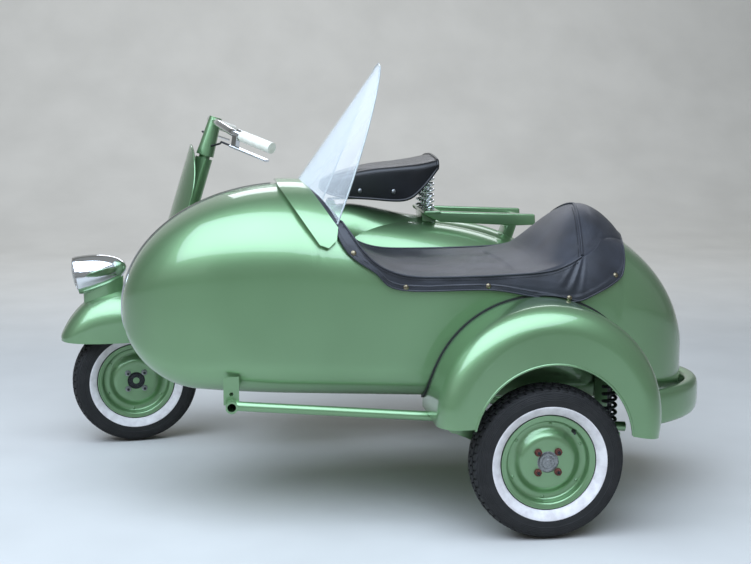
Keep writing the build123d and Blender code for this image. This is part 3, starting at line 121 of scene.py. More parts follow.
def tint(material, source, low, high, dark, light):
    """A two-colour ramp over a value."""
    ramp = add_node(material, "ShaderNodeValToRGB", None, {"Fac": source})
    ramp.color_ramp.elements[0].position = low
    ramp.color_ramp.elements[0].color = dark
    ramp.color_ramp.elements[1].position = high
    ramp.color_ramp.elements[1].color = light
    return ramp


def rough_skin(material, shader, source, height, strength=1.0):
    """Bump from a value, its height in metres."""
    bump = add_node(
        material, "ShaderNodeBump", {"Distance": height, "Strength": strength}, {"Height": source}
    )
    connect(material, bump.outputs["Normal"], shader.inputs["Normal"])
    return bump


# %% [markdown]
# The enamel is a sprayed metallic: aluminium flake under a clear lacquer. The flake gives the broad
# soft glow on every crown, and the lacquer the sharp reflections on top of it. Flake is finer than a
# pixel here, so it only ripples the colour a little, and a slow drift of tone keeps big panels alive.

# %% Pale green metallic enamel
enamel, shader = surface(
    "pale_green_metallic_enamel",
    {"Metallic": 0.75, "Roughness": 0.38, "Coat Weight": 1.0, "Coat Roughness": 0.05, "IOR": 1.5},
)
drift = speckle(enamel, 0.35)
tone = tint(enamel, drift.outputs["Fac"], 0.3, 0.7, colour("70946A"), colour("7DA277"))
connect(enamel, tone.outputs["Color"], shader.inputs["Base Color"])
flake = speckle(enamel, 0.0012, 1.0)
rough_skin(enamel, shader, flake.outputs["Fac"], 0.00006, 0.25)

# %% [markdown]
# Chrome is a mirror with faint wear; plated steel is duller and streaky. Polished metal keeps the
# default IOR, because its colour alone sets how much it reflects.

# %% Chrome, plated steel and cast alloy
chrome, shader = surface(
    "polished_chrome", {"Base Color": colour("E6E8EA"), "Metallic": 1.0, "Roughness": 0.07}
)
wear = speckle(chrome, 0.006, 4.0)
smear = add_node(
    chrome, "ShaderNodeMapRange",
    {"From Min": 0.35, "From Max": 0.8, "To Min": 0.05, "To Max": 0.16}, {"Value": wear.outputs["Fac"]},
)
connect(chrome, smear.outputs["Result"], shader.inputs["Roughness"])

steel, shader = surface("zinc_plated_steel", {"Metallic": 1.0, "Roughness": 0.42})
streak = speckle(steel, 0.004, 5.0)
tone = tint(steel, streak.outputs["Fac"], 0.3, 0.75, colour("7C7F80"), colour("A9ACAD"))
connect(steel, tone.outputs["Color"], shader.inputs["Base Color"])
rough_skin(steel, shader, streak.outputs["Fac"], 0.0001, 0.4)

alloy, shader = surface("sand_cast_alloy", {"Metallic": 0.9, "Roughness": 0.55})
sand = speckle(alloy, 0.0015, 3.0)
tone = tint(alloy, sand.outputs["Fac"], 0.3, 0.7, colour("85888A"), colour("A3A6A7"))
connect(alloy, tone.outputs["Color"], shader.inputs["Base Color"])
rough_skin(alloy, shader, sand.outputs["Fac"], 0.0003, 0.6)

dull_steel, shader = surface("blackened_spring_steel", {"Metallic": 0.85, "Roughness": 0.5})
film_and_painted_sheen = speckle(dull_steel, 0.003, 3.0)
tone = tint(dull_steel, film_and_painted_sheen.outputs["Fac"], 0.35, 0.7, colour("26282A"), colour("4A4D4F"))
connect(dull_steel, tone.outputs["Color"], shader.inputs["Base Color"])

rust, shader = surface("rusted_steel_nut", {"Metallic": 0.25, "Roughness": 0.82})
bloom = speckle(rust, 0.0025, 4.0)
tone = tint(rust, bloom.outputs["Fac"], 0.3, 0.7, colour("3A221F"), colour("7A4438"))
connect(rust, tone.outputs["Color"], shader.inputs["Base Color"])
rough_skin(rust, shader, bloom.outputs["Fac"], 0.0006)

brass, shader = surface("aged_brass", {"Metallic": 1.0, "Roughness": 0.34})
patina = speckle(brass, 0.002, 3.0)
tone = tint(brass, patina.outputs["Fac"], 0.35, 0.75, colour("6F6552"), colour("A39A82"))
connect(brass, tone.outputs["Color"], shader.inputs["Base Color"])

# %% [markdown]
# The tyres are vulcanised rubber, nearly black, with a dusty bloom that a slow noise lays on. The
# whitewall is the same rubber loaded with white pigment. Vinyl is calendered cloth-backed sheet with
# a leather print: cells about 2 mm across, drawn with a Voronoi pattern, and the saddle is hide.

# %% Rubber, vinyl and leather
rubber, shader = surface("black_tyre_rubber", {"Roughness": 0.72, "IOR": 1.52})
dust = speckle(rubber, 0.03, 6.0)
tone = tint(rubber, dust.outputs["Fac"], 0.35, 0.75, colour("0F1011"), colour("1D1D1E"))
connect(rubber, tone.outputs["Color"], shader.inputs["Base Color"])
grain = speckle(rubber, 0.002, 4.0)
rough_skin(rubber, shader, grain.outputs["Fac"], 0.0003, 0.5)

whitewall, shader = surface("whitewall_rubber", {"Roughness": 0.6, "IOR": 1.5})
smudge = speckle(whitewall, 0.02, 6.0)
tone = tint(whitewall, smudge.outputs["Fac"], 0.3, 0.65, colour("CFCACB"), colour("E7E4E4"))
connect(whitewall, tone.outputs["Color"], shader.inputs["Base Color"])

welt_rubber, shader = surface("extruded_black_rubber", {"Roughness": 0.55, "IOR": 1.52})
skin_noise = speckle(welt_rubber, 0.004, 3.0)
tone = tint(welt_rubber, skin_noise.outputs["Fac"], 0.3, 0.7, colour("121315"), colour("222326"))
connect(welt_rubber, tone.outputs["Color"], shader.inputs["Base Color"])


def hide(name, dark, light, roughness, cell, height):
    """Black upholstery with a cell-shaped grain; cell is the size of one grain in metres."""
    material, upholstery = surface(name, {"Roughness": roughness, "IOR": 1.5})
    place = add_node(material, "ShaderNodeTexCoord")
    cells = add_node(
        material, "ShaderNodeTexVoronoi", {"Scale": 1 / cell, "feature": "DISTANCE_TO_EDGE"},
        {"Vector": place.outputs["Object"]},
    )
    worn = speckle(material, 0.06, 4.0)
    shade = tint(material, worn.outputs["Fac"], 0.35, 0.7, dark, light)
    connect(material, shade.outputs["Color"], upholstery.inputs["Base Color"])
    crease = add_node(
        material, "ShaderNodeMapRange", {"From Max": 0.25}, {"Value": cells.outputs["Distance"]}
    )
    rough_skin(material, upholstery, crease.outputs["Result"], height, 0.5)
    return material


vinyl = hide("black_vinyl_sheet", colour("24262C"), colour("2F323A"), 0.40, 0.0022, 0.0002)
leather = hide("black_saddle_leather", colour("0B0C0F"), colour("15171B"), 0.30, 0.003, 0.00025)

thread, shader = surface("waxed_black_thread", {"Base Color": colour("0B0B0D"), "Roughness": 0.6})
ply = speckle(thread, 0.001)
rough_skin(thread, shader, ply.outputs["Fac"], 0.0002)

# %% [markdown]
# Grips are injection-moulded cream plastic. The screen is bent acrylic: clear, a thin transmissive sheet,
# with a pale cool veil that thickens toward glancing angles: a painted sheen that stands in for its
# reflection. The lamp glass is pressed, with vertical flutes in bump.

# %% Plastics and glass
cream, shader = surface("moulded_cream_plastic", {"Roughness": 0.42, "IOR": 1.49})
age = speckle(cream, 0.02, 3.0)
tone = tint(cream, age.outputs["Fac"], 0.3, 0.7, colour("D9D6C6"), colour("E9E7DC"))
connect(cream, tone.outputs["Color"], shader.inputs["Base Color"])

acrylic, shader = surface(
    "bent_clear_acrylic", {"Base Color": colour("EDF3F4"), "Roughness": 0.04, "IOR": 1.49}
)
# Painted sheen: the pale base colour shows more toward glancing angles, standing in for the screen's
# reflection.
facing = add_node(acrylic, "ShaderNodeLayerWeight", {"Blend": 0.35})
film_and_painted_sheen = add_node(
    acrylic, "ShaderNodeMapRange", {"To Min": 0.07, "To Max": 0.62}, {"Value": facing.outputs["Facing"]}
)
connect(acrylic, film_and_painted_sheen.outputs["Result"], shader.inputs["Alpha"])
haze = speckle(acrylic, 0.12, 3.0)
cloudy = add_node(
    acrylic, "ShaderNodeMapRange", {"To Min": 0.0, "To Max": 0.08}, {"Value": haze.outputs["Fac"]}
)
connect(acrylic, cloudy.outputs["Result"], shader.inputs["Roughness"])

# Painted highlight: the edge rod is coloured pale so that it shows as the bright line that light makes in a
# polished edge.
painted_bright_acrylic_edge, shader = surface(
    "acrylic_edge_painted_bright",
    {"Base Color": colour("C9D2D2"), "Roughness": 0.12, "IOR": 1.49, "Transmission Weight": 0.35},
)
rough_skin(painted_bright_acrylic_edge, shader, speckle(painted_bright_acrylic_edge, 0.01).outputs["Fac"], 0.0002, 0.3)

lens, shader = surface(
    "pressed_lamp_glass",
    {"Base Color": colour("F4F7F7"), "Roughness": 0.03, "IOR": 1.52, "Transmission Weight": 1.0},
)
flute_place = add_node(lens, "ShaderNodeTexCoord")
flutes = add_node(
    lens, "ShaderNodeTexWave", {"Scale": 60.0, "bands_direction": "Y"},
    {"Vector": flute_place.outputs["Object"]},
)
rough_skin(lens, shader, flutes.outputs["Fac"], 0.0008, 0.6)

red_lens, shader = surface(
    "moulded_red_lens",
    {"Base Color": colour("A3120E"), "Roughness": 0.18, "IOR": 1.49, "Coat Weight": 0.6},
)
ribs_place = add_node(red_lens, "ShaderNodeTexCoord")
ribs = add_node(
    red_lens, "ShaderNodeTexWave", {"Scale": 40.0, "bands_direction": "Z"},
    {"Vector": ribs_place.outputs["Object"]},
)
rough_skin(red_lens, shader, ribs.outputs["Fac"], 0.0006, 0.6)

board, shader = surface("painted_seat_board", {"Roughness": 0.7})
plank = speckle(board, 0.01, 4.0)
tone = tint(board, plank.outputs["Fac"], 0.3, 0.7, colour("2A211A"), colour("3A2E24"))
connect(board, tone.outputs["Color"], shader.inputs["Base Color"])

# %% [markdown]
# New pieces are drawn in millimetres with bmesh operators and scaled once at the end. A grid laid
# over a formula makes a pressed panel, a spun profile makes anything round, and a swept circle makes
# tubes and wire. The finished piece sits at the origin with its place in its mesh.


# %% Mesh helpers
replaced = set()
plain_finishes = {}


def place_grid(bm, across, along, where):
    """Lays a grid of across by along cells over a formula of two shares from 0 to 1."""
    made = bmesh.ops.create_grid(bm, x_segments=across, y_segments=along, size=0.5)
    for vert in made["verts"]:
        vert.co = where(vert.co.x + 0.5, vert.co.y + 0.5)
    return made["verts"]


def spin_profile(bm, profile, centre, axis, steps):
    """Spins a chain of points about an axis and returns the new faces."""
    before = set(bm.faces)
    verts = [bm.verts.new(point) for point in profile]
    edges = [bm.edges.new(pair) for pair in zip(verts, verts[1:])]
    bmesh.ops.spin(
        bm, geom=verts + edges, cent=centre, axis=axis, dvec=(0, 0, 0), angle=2 * pi,
        steps=steps, use_merge=True, use_duplicate=False,
    )
    return [face for face in bm.faces if face not in before]


def curve_through(points, steps=8):
    """A smooth run of points through the given ones, with steps between each pair."""
    last = len(points) - 1
    out = []
    for i in range(last):
        a, b, c, d = (Vector(points[min(max(k, 0), last)]) for k in (i - 1, i, i + 1, i + 2))
        for step in range(steps):
            t = step / steps
            out.append(
                0.5 * ((2 * b) + (c - a) * t + (2 * a - 5 * b + 4 * c - d) * t * t
                       + (3 * b - a - 3 * c + d) * t ** 3)
            )
    out.append(Vector(points[-1]))
    return out


def sweep_tube(bm, path, radius, sides=12):
    """A tube along a path; radius is a number or a function of the share along it."""
    last = len(path) - 1
    path = [Vector(p) for p in path]
    normal = None
    frames = []
    for i in range(last + 1):
        way = (path[min(i + 1, last)] - path[max(i - 1, 0)]).normalized()
        if normal is None:
            normal = way.orthogonal().normalized()
        normal = (normal - way * normal.dot(way)).normalized()
        frames.append((way, normal.copy()))

    def where(u, v):
        i = round(v * last)
        way, side = frames[i]
        other = way.cross(side)
        r = radius(v) if callable(radius) else radius
        turn = 2 * pi * u
        return path[i] + side * (r * cos(turn)) + other * (r * sin(turn))

    place_grid(bm, sides, last, where)
    bmesh.ops.remove_doubles(bm, verts=bm.verts, dist=0.002)
    bmesh.ops.holes_fill(bm, edges=[e for e in bm.edges if e.is_boundary], sides=sides)
    bmesh.ops.recalc_face_normals(bm, faces=bm.faces)


def finish(bm, name, body, materials, replaces=(), crease=40, mirror_y=None, outward=True):
    """Turns a bmesh in millimetres into a finished piece on its body."""
    bmesh.ops.remove_doubles(bm, verts=bm.verts, dist=0.002)
    if mirror_y is not None:
        made = bmesh.ops.duplicate(bm, geom=bm.verts[:] + bm.edges[:] + bm.faces[:])
        twins = [g for g in made["geom"] if isinstance(g, bmesh.types.BMVert)]
        faces = [g for g in made["geom"] if isinstance(g, bmesh.types.BMFace)]
        for vert in twins:
            vert.co.y = 2 * mirror_y - vert.co.y
        bmesh.ops.reverse_faces(bm, faces=faces)
    if outward:
        bmesh.ops.recalc_face_normals(bm, faces=bm.faces)
    bmesh.ops.scale(bm, vec=(mm, mm, mm), verts=bm.verts)
    mesh = bpy.data.meshes.new(name)
    for face in bm.faces:
        face.smooth = True
    for edge in bm.edges:
        if len(edge.link_faces) == 2 and edge.calc_face_angle(0) > radians(crease):
            edge.smooth = False
    bm.to_mesh(mesh)
    bm.free()
    piece = bpy.data.objects.new(name, mesh)
    bpy.context.scene.collection.objects.link(piece)
    for material in materials if isinstance(materials, (list, tuple)) else [materials]:
        mesh.materials.append(material)
    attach(piece, body)
    if replaces:
        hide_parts(*replaces)
        replaced.update(replaces)
    return piece


def thicken(piece, wall):
    """Gives an open sheet its wall, in millimetres."""
    solid = piece.modifiers.new("wall", "SOLIDIFY")
    solid.thickness = wall * mm
    solid.offset = -1.0
    solid.use_even_offset = True
    return piece


# %% [markdown]
# The tyres are 3.50-8 scooter tyres, moulded in one piece with a white band on each side wall, fine
# ribs above it and a block tread. The carcass is one profile spun about the axle; the profile is
# walked by its length, so the band and the ribs are small steps in it. The tread is cut from rows of
# blocks: each is a cube bent onto the crown and bevelled, which keeps the sharp edges a mould gives.

# %% Wheel places and the turned steering
wheel_z = 190
wheels = {"front": (-666, 360), "rear": (494, 360), "sidecar": (362, -667)}
wheel_bodies = {"front": "front_wheel", "rear": "rear_wheel", "sidecar": "sidecar_wheel"}
head_point = Matrix.Translation((-445, 360, 861))
head_axis = Vector((sin(radians(17)), 0, cos(radians(17))))
steer_turn = head_point @ Matrix.Rotation(radians(8), 4, head_axis) @ head_point.inverted()


def put_wheel(bm, name):
    """Moves a piece made round the Y axis to its wheel."""
    x, y = wheels[name]
    bmesh.ops.translate(bm, vec=(x, y, wheel_z), verts=bm.verts)
    if name == "front":
        bmesh.ops.transform(bm, matrix=steer_turn, verts=bm.verts)


def spin_ring(bm, profile, steps, closed=True):
    """Spins (y, radius) points about the Y axis."""
    chain = [Vector((0, y, r)) for y, r in profile]
    if closed:
        chain.append(chain[0].copy())
    return spin_profile(bm, chain, (0, 0, 0), (0, 1, 0), steps)


# %% Tyre profile
band_inner = 118.5
band_outer = 141.0
rib_first = 155.0
rib_last = 174.5
rib_pitch = 4.0
groove_depth = 4.5
wall_line = curve_through(
    [(25, 104, 0), (25.3, 111, 0), (27, 117, 0), (36, 125.5, 0), (43.5, 138, 0), (46, 152, 0),
     (44.6, 168, 0), (39, 181, 0)], steps=12,
)


def wall_bump(radius):
    """How far the side wall stands out: the white band and the ribs above it."""
    if band_inner < radius < band_outer:
        return 0.9
    if rib_first < radius < rib_last:
        return 1.1 * max(0.0, cos(2 * pi * (radius - rib_first - rib_pitch / 2) / rib_pitch))
    return 0.0


def crown_radius_at(y):
    return 190 - 9 * (y / 39) ** 2


half_profile = [(p.x + wall_bump(p.y), p.y) for p in wall_line]
crown_ys = [39 - 2.6 * k for k in range(1, 16)]
half_profile += [(y, crown_radius_at(y) - groove_depth) for y in crown_ys if y > 0]
tyre_profile = half_profile + [(-y, r) for y, r in reversed(half_profile)]

# %% Tread blocks
tread_pitches = 54
tread_rows = ((-7, 7, 0.0, 0.10), (10, 23, 0.5, -0.35), (-23, -10, 0.5, 0.35), (26, 42, 0.0, -0.25),
              (-42, -26, 0.0, 0.25))
block_bevel = 0.9


def tread_block(bm, near, far, start, span, lean):
    """One block: a cube bent onto the crown; near and far are y, start and span angles."""
    made = bmesh.ops.create_cube(bm, size=1)
    for vert in made["verts"]:
        y = near + (far - near) * (vert.co.x + 0.5)
        sunk = (0.5 - vert.co.z) * (groove_depth + 1.5)
        turn = start + span * (vert.co.y + 0.5) + lean * y / 190
        reach = crown_radius_at(y) - sunk
        vert.co = (reach * cos(turn), y * (1 - 0.02 * sunk), reach * sin(turn))
    return made["verts"]


def tread(bm):
    pitch = 2 * pi / tread_pitches
    for near, far, shift, lean in tread_rows:
        for count in range(tread_pitches):
            tread_block(bm, near, far, (count + shift) * pitch, pitch * 0.8, lean)
    bmesh.ops.recalc_face_normals(bm, faces=bm.faces)
    bmesh.ops.bevel(
        bm, geom=bm.edges[:], offset=block_bevel, segments=1, affect="EDGES", profile=0.5, material=-1
    )


for name in wheels:
    bm = bmesh.new()
    tread(bm)
    spin_ring(bm, tyre_profile, 112)
    for face in bm.faces:
        spot = face.calc_center_median()
        reach = sqrt(spot.x ** 2 + spot.z ** 2)
        if band_inner - 0.5 < reach < band_outer and abs(spot.y) > 26:
            face.material_index = 1
    put_wheel(bm, name)
    tyre = finish(bm, name + "_tyre_tread", wheel_bodies[name], [rubber, whitewall], (name + "_tyre",), 50)
    print(tyre.name, len(tyre.data.polygons))

# %% [markdown]
# The wheel is two steel pressings: a dished disc that bulges round the studs, drops into a trough and
# meets the rim, and a rim whose edges are rolled outwards. One closed profile spun about the axle is
# the pressing with its thickness, and the stud holes stay hidden under nuts and washers.

# %% Pressed wheels
disc_line = (
    (-23, 26.5), (-23.3, 34), (-23.3, 50), (-22.8, 58), (-21.2, 64), (-17.5, 69), (-12.5, 74.5),
    (-8.8, 79.5), (-7.2, 84), (-7, 90), (-7.8, 94.5), (-10, 97.5), (-13.5, 99.2), (-18, 100.2),
    (-23, 100.8), (-26.6, 102.4), (-28.6, 106), (-29.2, 110), (-30.2, 113), (-30.2, 115), (-29, 116),
    (-27.4, 115.8), (-26.4, 114), (-26, 109), (-25.6, 105), (-24, 103.9), (0, 103.8), (24, 103.9),
    (25.6, 105), (26, 109), (26.4, 114), (27.4, 115.8), (29, 116), (30.2, 115), (30.2, 113),
    (29.2, 110), (28.6, 106), (26.6, 102.4), (23, 100.8), (5, 100.6), (-2, 99.5), (-4, 96), (-4, 90),
    (-4.4, 84), (-6, 79.5), (-9.6, 75), (-14.8, 69), (-18.5, 63.5), (-19.9, 57), (-20, 26.5),
)
smooth_disc = [(p.x, p.y) for p in curve_through([(y, r, 0) for y, r in disc_line[:-1]], steps=3)]
smooth_disc.append(disc_line[-1])
rivet_reach = 91.5


def dome(bm, centre, way, radius, height, sides=20, rings=5):
    """A round head on a surface, its rim at centre, rising along way."""
    way = Vector(way).normalized()
    side = way.orthogonal().normalized()
    chain = []
    for ring in range(rings + 1):
        lift = pi / 2 * ring / rings
        chain.append(Vector(centre) + side * (radius * cos(lift)) + way * (height * sin(lift)))
    spin_profile(bm, [Vector(centre) + side * radius - way * 0.6] + chain, centre, way, sides)


def prism(bm, centre, way, radius, height, sides, bevel=0.8):
    """A bar end such as a nut or stud, standing on centre along way."""
    turn = Vector(way).to_track_quat("Z", "X").to_matrix().to_4x4()
    place = Matrix.Translation(Vector(centre) + Vector(way).normalized() * (height / 2)) @ turn
    made = bmesh.ops.create_cone(
        bm, cap_ends=True, segments=sides, radius1=radius, radius2=radius, depth=height, matrix=place
    )
    edges = {edge for vert in made["verts"] for edge in vert.link_edges}
    bmesh.ops.bevel(
        bm, geom=list(edges), offset=bevel, segments=2, affect="EDGES", profile=0.5, material=-1
    )


def around(radius, y, degrees):
    return Vector((radius * cos(radians(degrees)), y, radius * sin(radians(degrees))))


for name in wheels:
    bm = bmesh.new()
    spin_ring(bm, smooth_disc, 128)
    for k in range(6):
        dome(bm, around(rivet_reach, -7, 25 + 60 * k), (0, -1, 0), 4.2, 2.6)
    put_wheel(bm, name)
    finish(bm, name + "_rim_pressing", wheel_bodies[name], enamel, (name + "_rim",), 50)
    hub_finish = dull_steel if name == "front" else steel
    plain_finishes[name + "_hub"] = hub_finish

    bm = bmesh.new()
    for k in range(4):
        seat = around(35, -23, 45 + 90 * k)
        prism(bm, seat, (0, -1, 0), 9.2, 2.2, 28, 0.5)
        if name == "front":
            prism(bm, seat, (0, -1, 0), 7.6, 8.4, 28, 1.2)
        else:
            prism(bm, seat, (0, -1, 0), 9.2, 9.0, 6, 1.6)
    put_wheel(bm, name)
    finish(bm, name + "_wheel_nuts", wheel_bodies[name], steel if name == "front" else rust, (), 35)

    bm = bmesh.new()
    for k in range(4):
        prism(bm, around(35, -30, 45 + 90 * k), (0, -1, 0), 4, 5, 18, 0.7)
    put_wheel(bm, name)
    finish(bm, name + "_wheel_studs", wheel_bodies[name], dull_steel, (), 35)

    bm = bmesh.new()
    valve_spot = around(96.5, -9, 48)
    prism(bm, valve_spot, (0, -1, 0), 5, 7, 20, 1.0)
    prism(bm, valve_spot + Vector((0, -6, 0)), (-0.12, -1, -0.1), 3.4, 16, 16, 0.8)
    put_wheel(bm, name)
    finish(bm, name + "_valve", wheel_bodies[name], welt_rubber, (), 35)

# The sidecar wheel's axle ends under a bright pressed cap on a turned ring
bm = bmesh.new()
spin_ring(bm, ((-23.6, 22), (-24.8, 21.6), (-25.4, 20), (-25.3, 17.8), (-24.6, 16.4), (-23.6, 16)), 64)
put_wheel(bm, "sidecar")
finish(bm, "sidecar_hub_ring", "sidecar_wheel", steel, (), 40)
bm = bmesh.new()
cap_line = ((-24.1, 14.6), (-25.6, 14.3), (-26.3, 13), (-26.4, 9), (-26.2, 7.4), (-26.9, 6.4), (-27.2, 0))
spin_ring(bm, cap_line, 64, closed=False)
put_wheel(bm, "sidecar")
finish(bm, "sidecar_hub_cap", "sidecar_wheel", steel, (), 40)

# %% [markdown]
# The cockpit wears its tonneau: a black vinyl sheet, cut as one flat panel with a skirt sewn all
# round, that snaps onto studs in the body and humps up over the seat back. A grid laid over the
# hull's own outline gives the skirt its fit, the panel sags a little between its seams, and the hump
# is sewn from its own gusset. Folds run from where three seams meet down to the snap below them.

# %% Hull outline
hull_y = -260


def hull_row(x):
    """Share of the full width, top and floor of the hull at x."""
    floor_height = 335 - 0.045 * (x + 470)
    if x < -230:
        share = sqrt(max(0.0, 1 - ((x + 230) / 432) ** 2))
        keel = min(1.0, max(0.0, (-470 - x) / 192))
        return share, 515 + 321 * share, 515 - (515 - floor_height) * sqrt(1 - keel ** 2)
    if x <= 430:
        return 1.0, 836 - 86 * (x + 230) / 660, floor_height
    share = sqrt(max(0.0, 1 - ((x - 430) / 402) ** 2))
    return share, 340 + 410 * share, floor_height


def outline(x, grow):
    """Half of the hull's section, from the middle of its floor to the middle of its crown."""
    fine = 14
    share, top, base = hull_row(x)
    width = 280 * share + grow
    size = width / 280
    shoulder, crown, bilge = 190 * size, 500 * size, 90 * size
    top, base = top + grow, base - grow
    inset = width - shoulder
    crown_z = top - crown
    shoulder_z = crown_z + sqrt((crown - shoulder) ** 2 - inset ** 2)
    lean = asin(inset / (crown - shoulder))
    line = [(0.0, base)]
    for k in range(fine + 1):
        turn = pi / 2 * k / fine
        line.append((width - bilge + bilge * sin(turn), base + bilge - bilge * cos(turn)))
    for k in range(fine + 1):
        turn = pi / 2 - (pi / 2 - lean) * k / fine
        line.append((inset + shoulder * sin(turn), shoulder_z + shoulder * cos(turn)))
    for k in range(1, fine + 1):
        turn = lean * (1 - k / fine)
        line.append((crown * sin(turn), crown_z + crown * cos(turn)))
    return line


def value_at(line, key, column=0):
    """Straight-line reading of a table whose first column rises."""
    if key <= line[0][0]:
        return line[0][1 + column]
    for a, b in zip(line, line[1:]):
        if key <= b[0]:
            part = (key - a[0]) / (b[0] - a[0])
            return a[1 + column] + part * (b[1 + column] - a[1 + column])
    return line[-1][1 + column]


def stretch(line, low, high):
    """The part of an outline between two heights."""
    out = []
    for a, b in zip(line, line[1:]):
        for level in (low, high):
            if a[1] < level <= b[1]:
                part = (level - a[1]) / (b[1] - a[1])
                out.append((a[0] + part * (b[0] - a[0]), level))
        if low < b[1] < high:
            out.append(b)
    return sorted(set(out), key=lambda p: (p[1], -p[0]))


def walk(line, share):
    """The point at a share of a line's length."""
    steps = [sqrt((b[0] - a[0]) ** 2 + (b[1] - a[1]) ** 2) for a, b in zip(line, line[1:])]
    left = share * sum(steps)
    for (a, b), step in zip(zip(line, line[1:]), steps):
        if left <= step and step > 0:
            part = left / step
            return a[0] + part * (b[0] - a[0]), a[1] + part * (b[1] - a[1])
        left -= step
    return line[-1]


# %% [markdown]
# The sidecar's body is a monocoque of beaten sheet, smooth all over: a bullet nose that comes to a
# vertical edge, straight sides and a rounded tail. The grid runs from one edge of the cockpit opening
# under the floor to the other, so the opening's edge is a true edge of the sheet, and beyond the
# opening both sides meet on the crown. The first and last columns close the nose and the tail.


# %% Sidecar body
opening_line = [(p.x, p.y) for p in curve_through(
    [(-196, 836, 0), (-138, 770, 0), (-102, 722, 0), (-66, 672, 0), (-20, 638, 0), (50, 618, 0),
     (150, 614, 0), (300, 616, 0), (390, 620, 0), (440, 632, 0), (490, 654, 0), (540, 676, 0),
     (590, 712, 0)], steps=5)]
end_columns = 40
hull_xs = [-230 - 432 * sin(pi / 2 * (1 - k / end_columns)) for k in range(end_columns)]
hull_xs += [-230 + k for k in range(0, 34, 6)] + [-197 + 1.6 * k for k in range(12)]
hull_xs += [-176 + 9.3 * k for k in range(66)]
hull_xs += [430 + 402 * sin(pi / 2 * k / end_columns) for k in range(end_columns + 1)]
hull_xs = sorted({round(x, 3) for x in hull_xs if x < 832.1})
hull_lines = []
for x in hull_xs:
    line = outline(min(max(x, -661.7), 831.7), 0)
    if opening_line[0][0] < x < opening_line[-1][0]:
        limit = value_at(opening_line, x)
        kept = [line[0]]
        for a, b in zip(line, line[1:]):
            if b[1] > limit:
                part = (limit - a[1]) / (b[1] - a[1])
                kept.append((a[0] + part * (b[0] - a[0]), limit))
                break
            kept.append(b)
        line = kept
    hull_lines.append(line)


def hull_point(u, v):
    column = round(u * (len(hull_xs) - 1))
    y, z = walk(hull_lines[column], abs(2 * v - 1))
    if column in (0, len(hull_xs) - 1):
        y = 0.0
    return Vector((hull_xs[column], hull_y + (y if v > 0.5 else -y), z))


bm = bmesh.new()
place_grid(bm, len(hull_xs) - 1, 128, hull_point)
bmesh.ops.remove_doubles(bm, verts=bm.verts, dist=0.02)
bmesh.ops.recalc_face_normals(bm, faces=bm.faces)
low_face = min(bm.faces, key=lambda face: face.calc_center_median().z)
if low_face.normal.z > 0:
    bmesh.ops.reverse_faces(bm, faces=bm.faces)
body_sheet = finish(bm, "sidecar_body_sheet", "frame", enamel, ("sidecar_body",), 60, outward=False)
thicken(body_sheet, 4)
print("body sheet", len(body_sheet.data.polygons))

# %% Lines of the cover in side view
seam_line = [(p.x, p.y) for p in curve_through(
    [(-184, 838, 0), (-130, 778, 0), (-94, 730, 0), (-58, 680, 0), (-14, 646, 0), (50, 627, 0),
     (150, 623, 0), (300, 625, 0), (390, 630, 0), (440, 642, 0), (490, 664, 0), (540, 688, 0),
     (590, 730, 0), (645, 760, 0)], steps=6)]
hem_line = [(p.x, p.y) for p in curve_through(
    [(-184, 834, 0), (-140, 756, 0), (-102, 685, 0), (-39, 639, 0), (26, 594, 0), (243, 590, 0),
     (352, 572, 0), (456, 556, 0), (518, 574, 0), (587, 607, 0), (605, 634, 0), (624, 683, 0),
     (644, 690, 0)], steps=6)]
hump_table = (
    (330, 266, 612, 626), (390, 268, 628, 650), (440, 258, 642, 705), (490, 236, 664, 750),
    (543, 200, 686, 774), (589, 156, 690, 760), (629, 128, 680, 726), (646, 108, 672, 698),
)
hump_runs = curve_through([Vector(row) for row in hump_table], steps=4)
hump_fine = [tuple(row) for row in hump_runs]
cover_grow = 9
skirt_share = 0.42
arch_centre = (370, 292)
arch_reach = 283
snap_spots = ((-90, 685), (37, 600), (242, 599), (447, 565), (576, 615))
junction = (490, 668)
pleat_foot = (447, 575)


def blend_up(a, b, soft):
    """The higher of two heights with the valley between them rounded."""
    h = max(soft - abs(a - b), 0.0) / soft
    return max(a, b) + h * h * soft * 0.25


def hump_height(x, y):
    if x < hump_fine[0][0] or x > 647:
        return -1e3
    half = value_at(hump_fine, x, 0)
    foot = value_at(hump_fine, x, 1)
    crest = value_at(hump_fine, x, 2)
    if abs(y) >= half:
        return foot - 3 * (abs(y) - half)
    rise = crest - foot
    reach = (half ** 2 + rise ** 2) / (2 * rise)
    return crest - reach + sqrt(reach ** 2 - y ** 2)


def skin_height(line, y):
    """Height of the hull's crown over a distance from its middle."""
    upper = [p for p in line if p[1] > 600][::-1]
    return value_at(upper, y) if y < upper[-1][0] else upper[-1][1]


def pleat(x, z):
    """Folds that run from the seam junction down to the snap."""
    ax, az = pleat_foot[0] - junction[0], pleat_foot[1] - junction[1]
    length = sqrt(ax ** 2 + az ** 2)
    t = ((x - junction[0]) * ax + (z - junction[1]) * az) / length ** 2
    side = ((x - junction[0]) * az - (z - junction[1]) * ax) / length
    if not 0 < t < 1:
        return 0.0
    fan = side / (6 + 16 * t)
    return 3.0 * sin(pi * t) ** 0.7 * cos(2.6 * fan * pi / 2) * max(0.0, 1 - abs(fan) / 2.2)


